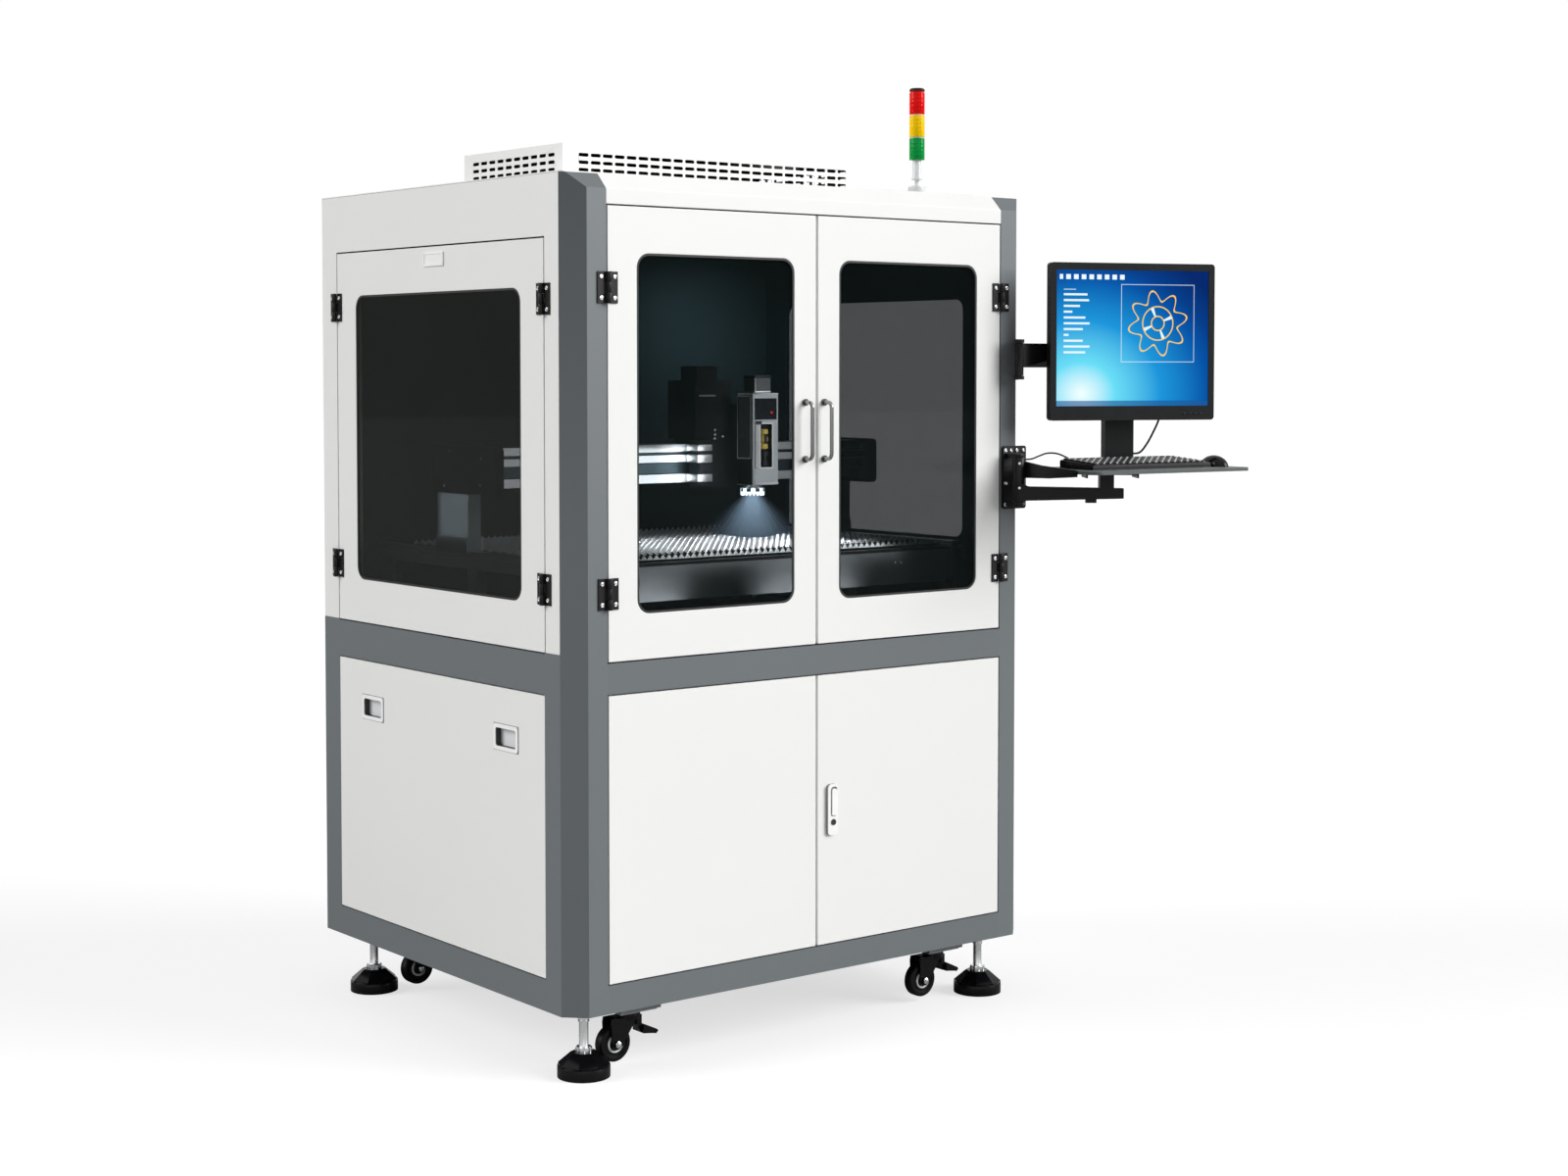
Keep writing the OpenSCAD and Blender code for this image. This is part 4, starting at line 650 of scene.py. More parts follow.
def pick(obj, test, kind="FACE"):
    """Selects the faces or edges whose middle and direction pass the test, in edit mode."""
    mesh = bmesh.from_edit_mesh(obj.data)
    items = mesh.faces if kind == "FACE" else mesh.edges
    for item in items:
        if kind == "FACE":
            chosen = test(item.calc_center_median(), item.normal)
        else:
            a, b = item.verts[0].co, item.verts[1].co
            chosen = test((a + b) / 2, (b - a).normalized())
        item.select_set(bool(chosen))
    mesh.select_flush_mode()
    bmesh.update_edit_mesh(obj.data)


def leave(obj):
    """Merges doubles, turns the faces outwards and leaves edit mode."""
    bpy.ops.mesh.select_all(action="SELECT")
    bpy.ops.mesh.remove_doubles(threshold=1e-6)
    bpy.ops.mesh.normals_make_consistent(inside=False)
    bpy.ops.object.mode_set(mode="OBJECT")
    return obj


def named(name):
    obj = bpy.context.object
    obj.name = name
    obj.data.name = name
    return obj


def box_between(name, low, high, round_by):
    """A block between two corners, in metres, with its edges rounded over."""
    bpy.ops.object.select_all(action="DESELECT")
    bpy.ops.mesh.primitive_cube_add(size=1, location=(low + high) / 2)
    obj = named(name)
    obj.scale = high - low
    bpy.ops.object.transform_apply(location=True, rotation=True, scale=True)
    edit(obj, "EDGE")
    bpy.ops.mesh.select_all(action="SELECT")
    bpy.ops.mesh.bevel(offset=round_by, segments=2, affect="EDGES")
    return leave(obj)


def slab(name, low, high, round_by):
    """A block between two places on the machine, in the cabinet's millimetres."""
    return box_between(name, at(*low), at(*high), mm(round_by))


def turned(name, rings, sides=32):
    """A turned shape about Z through the origin, from (radius, height) rings in millimetres."""
    rings = [(mm(radius), mm(height)) for radius, height in rings]
    bpy.ops.object.select_all(action="DESELECT")
    bpy.ops.mesh.primitive_circle_add(vertices=sides, radius=rings[0][0], fill_type="NGON",
                                      location=(0, 0, rings[0][1]))
    obj = named(name)
    bpy.ops.object.transform_apply(location=True, rotation=True, scale=True)
    edit(obj)
    bpy.ops.mesh.select_all(action="SELECT")
    for last, ring in zip(rings, rings[1:]):
        bpy.ops.mesh.extrude_region_move(TRANSFORM_OT_translate={"value": (0, 0, ring[1] - last[1])})
        k = ring[0] / last[0]
        bpy.ops.transform.resize(value=(k, k, 1.0), center_override=(0, 0, ring[1]))
    return leave(obj)


def ring_plate(name, width, height, corner, rim, thick, steps=6):
    """A flat rounded ring in the XY plane about the origin, in millimetres, with its rim outwards."""
    bpy.ops.object.select_all(action="DESELECT")
    bpy.ops.mesh.primitive_plane_add(size=1, location=(0, 0, 0))
    obj = named(name)
    obj.scale = (mm(width + 2 * rim), mm(height + 2 * rim), 1.0)
    bpy.ops.object.transform_apply(location=True, rotation=True, scale=True)
    edit(obj, "VERT")
    bpy.ops.mesh.select_all(action="SELECT")
    bpy.ops.mesh.bevel(offset=mm(corner + rim), segments=steps, affect="VERTICES")
    bpy.ops.mesh.select_mode(type="FACE")
    bpy.ops.mesh.select_all(action="SELECT")
    bpy.ops.mesh.inset(thickness=mm(rim), depth=0.0, use_boundary=True)
    bpy.ops.mesh.delete(type="FACE")
    bpy.ops.mesh.select_all(action="SELECT")
    bpy.ops.mesh.extrude_region_move(TRANSFORM_OT_translate={"value": (0, 0, mm(thick))})
    return leave(obj)


def sink(obj, test, rim, move):
    """Insets the faces that pass the test by a rim and moves the inner faces, in millimetres."""
    edit(obj)
    pick(obj, test)
    bpy.ops.mesh.inset(thickness=mm(rim), depth=0.0)
    bpy.ops.mesh.extrude_region_move(TRANSFORM_OT_translate={"value": [mm(step) for step in move]})
    return leave(obj)


def move_to(obj, matrix):
    """Puts a piece in place, with its place in its mesh."""
    obj.data.transform(matrix)
    obj.data.update()
    return obj


def facing(normal):
    """The turn that takes +Z to a direction."""
    return Vector((0, 0, 1)).rotation_difference(Vector(normal)).to_matrix().to_4x4()


def axes(right, up, out):
    """The turn that takes X, Y and Z to three directions on the machine."""
    return Matrix((right, up, out)).transposed().to_4x4()


def spot(place, turn=(0, 0, 1)):
    """A place on the machine with a turn, given as a matrix or as the direction that +Z takes."""
    turn = turn if isinstance(turn, Matrix) else facing(turn)
    return Matrix.Translation(at(*place)) @ turn


def join(name, *objects):
    select_only(*objects)
    if len(objects) > 1:
        bpy.ops.object.join()
    return named(name)


def copies(pattern, name, matrices):
    """One mesh of the pattern repeated at each place; the pattern itself stays."""
    parts = []
    for matrix in matrices:
        part = pattern.copy()
        part.data = pattern.data.copy()
        bpy.context.collection.objects.link(part)
        parts.append(move_to(part, matrix))
    return join(name, *parts)


def forget(*patterns):
    for pattern in patterns:
        bpy.data.objects.remove(pattern)


def done(obj, body, coat, slot, smooth=35.0):
    """Gives a piece its finish, its smooth faces and its body; the slot is not used."""
    obj.data.materials.clear()
    obj.data.materials.append(finish(coat))
    select_only(obj)
    bpy.ops.object.shade_smooth_by_angle(angle=math.radians(smooth))
    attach(obj, body)
    return obj


WELD_DISTANCE = 0.00001
SHARP_ANGLE = math.radians(40.0)


def coat_node(name, coat, edge=None):
    """A carried-over CAD node: its finish, and its sheet edges rounded over."""
    obj = frame["nodes"][name]
    obj.data.materials.clear()
    obj.data.materials.append(finish(coat))
    for polygon in obj.data.polygons:
        polygon.material_index = 0
    if edge:
        weld = obj.modifiers.new("Weld", "WELD")
        weld.merge_threshold = WELD_DISTANCE
        bevel = obj.modifiers.new("Edges", "BEVEL")
        bevel.width = edge
        bevel.segments = 2
        bevel.limit_method = "ANGLE"
        bevel.angle_limit = SHARP_ANGLE
        bevel.use_clamp_overlap = True
        bevel.harden_normals = False


# Studio

# The camera's place, how far it looks down and its heading from +X, in degrees
CAMERA_PLACE = (-2603.6, -3964.6, 1286.3)
CAMERA_DOWN, CAMERA_HEADING = 2.471, 51.87
# Name, direction towards it, strength and angle of each sun
SUNS = (("sun_front", (0.62, -0.70, 0.42), 3.0, 40.0),
        ("sun_side", (-0.78, 0.42, 0.44), 1.95, 40.0),
        ("sun_fill", (-0.2, -0.5, 0.85), 0.12, 60.0))


class ENGRAVER_OT_studio(bpy.types.Operator):
    """Sets the camera, the pale floor and the soft lamps"""
    bl_idname = "engraver.studio"
    bl_label = "Studio"

    def execute(self, context):
        scene = context.scene
        data = bpy.data.cameras.new("camera")
        data.sensor_width = 36.0
        data.lens = 55.447
        data.shift_x = 0.0059
        data.shift_y = -0.072
        data.clip_end = 200.0
        camera = bpy.data.objects.new("camera", data)
        scene.collection.objects.link(camera)
        camera.location = at(*CAMERA_PLACE)
        camera.rotation_euler = (math.radians(90.0 - CAMERA_DOWN), 0.0, math.radians(CAMERA_HEADING - 90.0))
        scene.camera = camera

        for name, direction, strength, angle in SUNS:
            lamp = bpy.data.lights.new(name, "SUN")
            lamp.energy = strength
            lamp.angle = math.radians(angle)
            obj = bpy.data.objects.new(name, lamp)
            obj.rotation_euler = Vector(direction).to_track_quat("Z", "Y").to_euler()
            scene.collection.objects.link(obj)

        # The surroundings are white to the eye; polished parts see two soft boxes and a bright ceiling
        b = Backdrop("studio")
        scene.world = b.world
        rays = b.node("ShaderNodeLightPath")
        heading = b.node("ShaderNodeTexCoord").outputs["Generated"]
        split = b.node("ShaderNodeSeparateXYZ", None, {0: heading})
        dx, dy, dz = (b.out(split, i) for i in range(3))
        boxes = abs(dx * 0.617 + dy * 0.787).rise(0.45, 0.92)
        walls = boxes * (1.0 - abs(dz).rise(0.3, 0.7))
        mirrored = (0.17 + 0.75 * walls + 0.75 * dz.rise(0.25, 0.8)).clamped()
        gloss = b.out(rays, "Is Glossy Ray")
        plain = b.out(rays, "Is Camera Ray").most(b.out(rays, "Is Transmission Ray"))
        level = (1.0 - plain) * (gloss * mirrored + (1.0 - gloss) * 0.26) + plain
        b.join((1.0, 1.0, 1.0), b.tree.nodes["Background"].inputs["Color"])
        b.join(level, b.tree.nodes["Background"].inputs["Strength"])

        # The floor shines to the eye only, so that it is as white as the surroundings
        bpy.ops.object.select_all(action="DESELECT")
        bpy.ops.mesh.primitive_plane_add(size=120.0, location=(0, 0, -0.0005))
        floor = named("floor")
        bpy.ops.object.transform_apply(location=True, rotation=True, scale=True)
        f = Finish("studio_floor", Roughness=0.9, Specular_IOR_Level=0.0)
        f.set(Base_Color=f.shade((0.42, 0.42, 0.42), 0.99 + 0.02 * f.noise(3.0)))
        rays = f.node("ShaderNodeLightPath")
        shine = f.node("ShaderNodeEmission", None, {0: (1.0, 1.0, 1.0), 1: 0.66})
        both = f.node("ShaderNodeAddShader", None, {0: f.shader.outputs[0], 1: shine.outputs[0]})
        seen = f.out(rays, "Is Camera Ray").most(f.out(rays, "Is Transmission Ray"))
        chosen = f.node("ShaderNodeMixShader", None, {0: seen, 1: f.shader.outputs[0], 2: both.outputs[0]})
        f.join(chosen.outputs[0], f.tree.nodes["Material Output"].inputs["Surface"])
        floor.data.materials.append(f.material)

        scene.view_settings.view_transform = "Standard"
        return {"FINISHED"}


# Cables

def spline(points, i, t):
    """A place between the points i and i + 1 of a smooth line through all the points."""
    a, b = points[max(i - 1, 0)], points[i]
    c, d = points[i + 1], points[min(i + 2, len(points) - 1)]
    return [0.5 * (2 * b[k] + (c[k] - a[k]) * t + (2 * a[k] - 5 * b[k] + 4 * c[k] - d[k]) * t * t
                   + (3 * b[k] - a[k] - 3 * c[k] + d[k]) * t ** 3) for k in range(3)]


def route(points, steps):
    """The CAD's own route: a smooth line through the points, with so many steps between two."""
    spans = range(len(points) - 1)
    return [spline(points, i, k / steps) for i in spans for k in range(steps)] + [points[-1]]


# Points of the two routes, in the frames of the stand and of the tray
MONITOR_ROUTE = [[36.3, 0, 1302], [60, 0, 1303], [90, 0, 1290], [108, 0, 1252], [112, 0, 1212],
                 [106, 0, 1176], [92, 0, 1146], [76, 0, 1119], [58, 0, 1099], [36.8, 0, 1096]]
KEYBOARD_ROUTE = [[100, 176.5, 1080], [99.4, 190, 1082], [89, 203, 1091], [70, 214, 1100],
                  [48, 222, 1101], [28, 227, 1095], [12, 231, 1089], [-2.94, 237.59, 1087.5]]


def lay_cable(name, points, radius, node, body):
    """A cable of one open spline through the CAD's own route, which it replaces."""
    curve = bpy.data.curves.new(name, "CURVE")
    curve.dimensions = "3D"
    curve.bevel_depth = radius
    curve.bevel_resolution = 3
    curve.use_fill_caps = True
    line = curve.splines.new("POLY")
    line.points.add(len(points) - 1)
    for knot, place in zip(line.points, points):
        knot.co = (*place, 1.0)
    line.use_smooth = True
    obj = bpy.data.objects.new(name, curve)
    bpy.context.scene.collection.objects.link(obj)
    curve.materials.append(finish("cable_skin"))
    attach(obj, body)
    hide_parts(node)
    length = sum((points[i + 1] - points[i]).length for i in range(len(points) - 1))
    return obj, length


def boot(name, where, direction, radius, body):
    """A tapered, ribbed strain relief; the radius is the cable's, in millimetres."""
    rings = [(radius * 2.0, 0.0), (radius * 2.0, radius * 1.2)]
    for i in range(5):
        z, r = radius * (1.2 + i), radius * (1.85 - 0.14 * i)
        rings += [(r * 0.86, z + radius * 0.15), (r * 0.86, z + radius * 0.45),
                  (r, z + radius * 0.6), (r, z + radius)]
    rings += [(radius * 1.12, radius * 6.7)]
    obj = turned(name, rings, 16)
    move_to(obj, Matrix.Translation(where) @ facing(direction))
    return done(obj, body, "cable_skin", "cable_black")


class ENGRAVER_OT_cables(bpy.types.Operator):
    """Lays the monitor's and the keyboard's cable"""
    bl_idname = "engraver.cables"
    bl_label = "Cables"

    def execute(self, context):
        for name, node, points, place, radius, stiff in (
                ("monitor_lead", "monitor_cable", MONITOR_ROUTE, on_stand, 2.5, "medium"),
                ("keyboard_lead", "keyboard_cable", KEYBOARD_ROUTE, on_tray, 2.0, "medium")):
            line = [place(*p) for p in route(points, 5)]
            lead, length = lay_cable(name, line, mm(radius), node, "station")
            first = boot(name + "_boot", line[0], line[1] - line[0], radius, "station")
            tuple(line[0])
            mm(radius * 2)
        return {"FINISHED"}


# Finishes of the carried-over nodes

def all_four(prefix):
    return " ".join(prefix + corner for corner in CORNERS)


class ENGRAVER_OT_coats(bpy.types.Operator):
    """Gives every carried-over CAD node its finish"""
    bl_idname = "engraver.coats"
    bl_label = "Coats"

    def execute(self, context):
        edge = sizes().edge
        for coat, width, nodes in (
                ("coat_front", edge, "upper_left_door upper_right_door lower_left_door lower_right_door"),
                ("coat_roof", edge, "roof_hood"),
                ("coat_vent", edge * 0.6, "vent_box"),
                ("coat_side_lined", edge, "side_surround fixed_panels"),
                ("coat_side", edge, "side_door"),
                ("coat_pull_panel", edge, "lift_out_panel"),
                ("coat_frame", edge * 1.1, "base_frame"),
                ("coat_lining", edge, "chamber_lining"),
                ("window_glass", None, "upper_left_window upper_right_window"),
                ("window_side", None, "side_window"),
                ("window_far", None, "right_window"),
                ("coat_hinge", mm(0.35),
                 "cabinet_hinge_leaves upper_left_hinges upper_right_hinges side_door_hinges"),
                ("metal_zinc", edge, "caster_plates"),
                ("silver_paint", mm(0.5), "lamp_pole"),
                ("signal_lenses", mm(0.4), "lamp_lenses"),
                ("coat_bed", edge, "bed_frame"),
                ("metal_slat", None, "bed_slats"),
                ("metal_rail", mm(0.4), "y_rails"),
                ("metal_beam", mm(0.5), "gantry_beam"),
                ("coat_carriage", edge, "head_carriage"),
                ("metal_head", mm(0.7), "laser_head"),
                ("ring_posts", mm(0.5), "led_ring"),
                ("coat_unit", edge, "laser_source"),
                ("metal_handle", mm(0.4), "upper_left_handle upper_right_handle"),
                ("lock_white", mm(0.6), "lock_plate"),
                ("metal_lock", mm(0.3), "lock_cylinder"),
                ("coat_caster", mm(0.5), all_four("fork_") + " pedal_left pedal_right"),
                ("tyre", mm(0.6), all_four("wheel_")),
                ("foot_parts", mm(0.8), all_four("foot_")),
                ("coat_station", mm(0.8), "arm_bracket swing_arm monitor_stay"),
                ("tray_laminate", mm(1.2), "keyboard_tray"),
                ("plastic_monitor", mm(1.2), "monitor_stand monitor"),
                ("screen_picture", None, "screen"),
                ("key_plastic", mm(0.6), "keyboard"),
                ("plastic_gloss", mm(0.6), "mouse"),
                ("cable_skin", None, "monitor_cable keyboard_cable")):
            for node in nodes.split():
                coat_node(node, coat, width)
        return {"FINISHED"}


# Work light

# Name, place, target, width, height, energy, colour, body and spread in degrees
STRIPS = (
    ("bed_strip", (660, 390, 1001), (660, 390, 902), 500, 380, 66.0, COOL, "cabinet", 80),
    ("slat_strip", (640, 78, 908), (640, 128, 896), 640, 12, 0.22, COOL, "cabinet", 100),
    ("beam_strip", (520, 432, 1056), (520, 450, 1056), 176, 112, 0.21, (0.90, 0.97, 1.0), "gantry", 130),
    ("beam_end_strip", (170, 432, 1078), (170, 450, 1078), 120, 96, 0.036, COOL, "gantry", 130),
    ("beam_far_strip", (890, 432, 1078), (890, 450, 1078), 70, 96, 0.012, COOL, "gantry", 130),
    ("guard_strip", (606, 384, 1070), (616, 408, 1070), 90, 96, 0.17, COOL, "carriage", 130),
    ("head_strip", (786, 316, 1150), (786, 350, 1150), 110, 260, 0.145, COOL, "head", 140),
    ("flank_strip", (706, 392, 1160), (719, 378, 1160), 50, 150, 0.013, COOL, "head", 150),
    ("riser_strip", (46, 595, 976), (84, 595, 976), 120, 100, 0.42, (0.85, 0.95, 1.0), "gantry", 60),
    ("apron_strip_left", (215, 72, 742), (215, 118, 830), 260, 14, 0.62, (0.92, 0.97, 1.0), "cabinet", 80),
    ("apron_strip_right", (690, 72, 742), (690, 118, 830), 250, 14, 0.55, (0.92, 0.97, 1.0), "cabinet", 80),
    ("chamber_strip", (960, 600, 1540), (1010, 953, 1330), 300, 40, 1.9, (0.50, 0.85, 0.95), "cabinet", 75),
)


def new_lamp(name, kind, place, body, energy, colour):
    """A lamp on the machine that moves with a body; returns the lamp's object and its data."""
    data = bpy.data.lights.new(name, kind)
    data.energy = energy
    data.color = colour
    obj = bpy.data.objects.new(name, data)
    bpy.context.scene.collection.objects.link(obj)
    obj.location = at(*place)
    obj.parent = frame["bodies"][body]
    return obj, data


class ENGRAVER_OT_work_light(bpy.types.Operator):
    """Lights the bed from the ring around the lens, and the chamber from its strips"""
    bl_idname = "engraver.work_light"
    bl_label = "Work light"

    def execute(self, context):
        obj, lamp = new_lamp("ring_lamp", "SPOT", (LENS[0], LENS[1] - 2, 1000.0), "head", 16.0,
                             tuple(colours().lamp))
        lamp.spot_size = math.radians(132.0)
        lamp.spot_blend = 0.7
        lamp.shadow_soft_size = 0.025
        for name, place, target, wide, tall, energy, colour, body, spread in STRIPS:
            obj, lamp = new_lamp(name, "AREA", place, body, energy, colour)
            obj.rotation_euler = (at(*place) - at(*target)).to_track_quat("Z", "Y").to_euler()
            lamp.shape = "RECTANGLE"
            lamp.size, lamp.size_y = mm(wide), mm(tall)
            lamp.spread = math.radians(spread)

        # The haze fades outwards: shells of one cone inside the other
        shells = []
        for k in (0.16, 0.28, 0.40, 0.52, 0.64, 0.76, 0.88, 1.0):
            shell = turned("shell", [(24.0 * k, 0.0), (64.0 * k, -35.0), (134.0 * k, -96.0)], 40)
            edit(shell)
            pick(shell, lambda c, n: abs(n.z) > 0.9)
            bpy.ops.mesh.delete(type="FACE")
            bpy.ops.object.mode_set(mode="OBJECT")
            shells.append(shell)
        cone = move_to(join("light_cone", *shells), spot((*LENS, RING_Z)))
        f = Finish("light_haze", Roughness=1.0, Specular_IOR_Level=0.0,
                   Emission_Strength=sizes().cone * 60.0)
        x, y, z = f.place()
        fade = z.rise(790.0, 1010.0)
        across, along = x - LENS[0], y - LENS[1]
        share = (across * across + along * along).root() / (24.0 + 1.146 * (RING_Z - z))
        f.set(Base_Color=(0.0, 0.0, 0.0), Emission_Color=f.shade((0.50, 0.74, 1.0), 0.8 + 0.3 * fade),
              Alpha=(fade * fade * (1.15 - share) * (1.15 - share)).clamped() * 0.010)
        done(cone, "head", "light_haze", "ring_white")
        return {"FINISHED"}


# Fasteners and plates

HINGES_FRONT = (843.0, 1451.0)
HINGES_SIDE = (851.0, 1429.0)
# From a hinge's middle to its screws, along the seam and across it, and the leaves' outer face
SCREW_UP, SCREW_OUT = 21.0, 16.0
LEAF_FACE = -3.0


def screw_pattern(radius, height):
    """A rounded screw head with a hexagonal socket, standing along +Z."""
    obj = turned("screw", [(radius, 0.0), (radius, height * 0.55), (radius * 0.86, height * 0.9),
                           (radius * 0.62, height)], 12)
    return sink(obj, lambda c, n: n.z > 0.9 and c.z > mm(height * 0.8), radius * 0.14,
                (0, 0, -height * 0.6))


def stud(radius, height):
    """A turned pin or dome that stands along +Z."""
    return turned("stud", [(radius, 0.0), (radius, height * 0.5), (radius * 0.8, height * 0.85),
                           (radius * 0.4, height)], 12)


def set_out(pattern, name, places, body, coat, slot):
    """Sets copies of a pattern that stands along +Z on a list of (place, direction)."""
    obj = copies(pattern, name, [spot(*place) for place in places])
    forget(pattern)
    return done(obj, body, coat, slot)


def framed_plate(name, low, high, axis, rim, depth, body, coat, slot, round_by=0.5):
    """A rounded plate with a raised rim on the side that faces against the axis."""
    move = [depth if i == axis else 0.0 for i in range(3)]
    obj = sink(slab(name, low, high, round_by), lambda c, n: n[axis] < -0.95, rim, move)
    return done(obj, body, coat, slot)


class ENGRAVER_OT_hinge_screws(bpy.types.Operator):
    """Puts the bright screws on the black hinges"""
    bl_idname = "engraver.hinge_screws"
    bl_label = "Hinge screws"

    def execute(self, context):
        groups = {"cabinet": [], "upper_left_leaf": [], "upper_right_leaf": [], "side_leaf": []}
        for heights, seams, direction in (
                (HINGES_FRONT, ((87.5, -1, "upper_left_leaf"), (1152.5, 1, "upper_right_leaf")),
                 (0, -1, 0)),
                (HINGES_SIDE, ((94.5, -1, "side_leaf"), (957.5, 1, "side_leaf")), (-1, 0, 0))):
            for z in [height + up for height in heights for up in (-SCREW_UP, SCREW_UP)]:
                for seam, side, leaf in seams:
                    for body, step in (("cabinet", side), (leaf, -side)):
                        along = seam + step * SCREW_OUT
                        place = (along, LEAF_FACE, z) if direction[1] else (LEAF_FACE, along, z)
                        groups[body].append((place, direction))
        for body, places in groups.items():
            set_out(screw_pattern(sizes().screw * 1000.0, 2.2), "hinge_screws_" + body, places, body,
                    "metal_screw", "zinc")
        return {"FINISHED"}


class ENGRAVER_OT_seals(bpy.types.Operator):
    """Runs a black rubber seal around each window"""
    bl_idname = "engraver.seals"
    bl_label = "Window seals"

    def execute(self, context):
        rim = sizes().seal * 1000.0
        front, flank = axes((1, 0, 0), (0, 0, -1), (0, 1, 0)), axes((0, 1, 0), (0, 0, 1), (1, 0, 0))
        for name, body, wide, tall, middle, turn in (
                ("seal_upper_left", "upper_left_leaf", 402.0, 722.0, (360.0, 0.6, 1160.0), front),
                ("seal_upper_right", "upper_right_leaf", 398.0, 722.0, (882.0, 0.6, 1160.0), front),
                ("seal_side", "side_leaf", 688.0, 634.0, (0.6, 526.0, 1137.0), flank)):
            obj = ring_plate(name, wide - 2 * rim, tall - 2 * rim, 30.0 - rim, rim, 2.4)
            done(move_to(obj, spot(middle, turn)), body, "rubber_seal", "hinge_black")
        return {"FINISHED"}


class ENGRAVER_OT_name_plate(bpy.types.Operator):
    """Sets a bare white plate on the side door"""
    bl_idname = "engraver.name_plate"
    bl_label = "Bare plate"

    def execute(self, context):
        framed_plate("side_plate", (-3.4, 482, 1508), (-0.02, 564, 1538), 0, 3.2, 1.4, "side_leaf",
                     "plate_white", "front_white", 0.8)
        return {"FINISHED"}


# Laser head, carriage and beam

# Barrels of the beam expander, from below
EXPANDER = [(7.0, 0.0), (11.0, 1.5), (11.0, 12.0), (8.6, 13.0), (8.6, 17.0), (11.2, 18.0), (11.2, 27.0),
            (9.4, 28.0), (9.4, 34.0), (11.4, 35.0), (11.4, 44.0), (7.4, 46.0)]
EXPANDER_BASE = [(9.0, 0.0), (9.0, 9.0), (6.5, 10.0), (6.5, 22.0), (9.6, 23.0), (9.6, 32.0), (7.0, 34.0)]
RING_LED_COUNT, RING_LED_RADIUS = 18, 24.7


class ENGRAVER_OT_head_trim(bpy.types.Operator):
    """Dresses the laser head: window rim, optics, motor, flank cover, lamp and screws"""
    bl_idname = "engraver.head_trim"
    bl_label = "Head trim"

    def execute(self, context):
        silver, black = "head_silver", "carriage_black"
        # Rims around the window and the flank cover; the white rim on the flank cover is a painted
        # highlight
        for name, wide, tall, corner, rim, thick, middle, turn, coat in (
                ("head_window_rim", 33.0, 98.0, 2.0, 3.2, 1.6, (758, 350.2, 1117),
                 axes((1, 0, 0), (0, 0, 1), (0, -1, 0)), "metal_bright"),
                ("head_flank_painted_highlight", 47.6, 139.6, 1.5, 1.4, 0.8, (717.0, 377.5, 1159.0),
                 axes((0, -1, 0), (0, 0, 1), (-1, 0, 0)), "plate_white")):
            obj = ring_plate(name, wide, tall, corner, rim, thick, 3)
            done(move_to(obj, spot(middle, turn)), "head", coat, silver)

        # Beam expander behind the window: stacked yellow and black barrels
        for name, rings, place, coat, slot in (
                ("head_expander", EXPANDER, (760, 363.5, 1109), "yellow_paint", silver),
                ("head_expander_base", EXPANDER_BASE, (761, 361.5, 1072), "metal_dark", black)):
            done(move_to(turned(name, rings, 24), spot(place)), "head", coat, slot)

        # Shutter in front of the expander, sill below the window, and a white strip that is a painted
        # highlight on the motor's edge
        for name, low, high, round_by, coat, slot in (
                ("head_expander_shutter", (755.0, 351.2, 1121.0), (763.0, 352.8, 1143.0), 0.7,
                 "metal_dark", black),
                ("head_sill", (719.2, 349.2, 1028.4), (792.8, 350.2, 1033.6), 0.3, "plate_white", silver),
                ("motor_painted_highlight", (732.4, 358.0, 1241.2), (735.4, 361.0, 1269.8), 0.4,
                 "plate_white", silver)):
            done(slab(name, low, high, round_by), "head", coat, slot)

        # Pale guide beside the window with a dark clamp over it, flank cover and cap
        for name, low, high, axis, rim, depth, coat, slot in (
                ("head_guide", (727.2, 348.2, 1066.0), (739.2, 350.2, 1164.0), 1, 1.6, 0.4,
                 "plate_white", silver),
                ("head_guide_clamp", (727.2, 347.8, 1166.0), (744.6, 350.2, 1173.0), 1, 1.2, 0.4,
                 "metal_dark", black),
                ("head_flank_cover", (717.0, 353.0, 1088.0), (719.3, 402.0, 1230.0), 0, 1.8, 1.0,
                 "plastic_gloss", black),
                ("head_cap", (718.6, 349.2, 1232.6), (793.4, 404.0, 1236.2), 2, 3.0, 0.4,
                 "silver_paint", silver)):
            framed_plate(name, low, high, axis, rim, depth, "head", coat, slot)

        corner = slab("head_corner_strip", (718.6, 349.0, 1030.0), (723.0, 350.4, 1232.0), 0.4)
        edit(corner)
        pick(corner, lambda c, n: n.y < -0.9)
        bpy.ops.mesh.inset(thickness=mm(0.5), depth=mm(0.3))
        done(leave(corner), "head", "plate_white", silver)

        for name, low, high, coat, slot in (
                ("motor_flange", 1236.4, 1241.0, "metal_bright", silver),
                ("motor_cap", 1270.0, 1275.2, "metal_dark", black)):
            plate = slab(name, (732.6, 359.0, low), (779.4, 400.0, high), 0.4)
            edit(plate, "EDGE")
            pick(plate, lambda c, n: abs(n.z) > 0.9, "EDGE")
            bpy.ops.mesh.bevel(offset=mm(1.6), segments=2, affect="EDGES")
            done(leave(plate), "head", coat, slot)

        set_out(screw_pattern(2.4, 1.6), "head_screws", [
            ((x, 350.2, z), (0, -1, 0)) for x in (725.5, 787.0) for z in (1036.0, 1052.0, 1170.0)],
            "head", "metal_screw", silver)
        set_out(screw_pattern(2.4, 2.0), "motor_screws", [
            ((x, y, 1275.2), (0, 0, 1)) for x in (738.0, 774.0) for y in (364.5, 394.5)],
            "head", "metal_screw", silver)
        set_out(stud(2.6, 2.4), "head_lamp", [((775.3, 352.2, 1192.0), (0, -1, 0))],
                "head", "red_glow", "signal_lens")
        return {"FINISHED"}


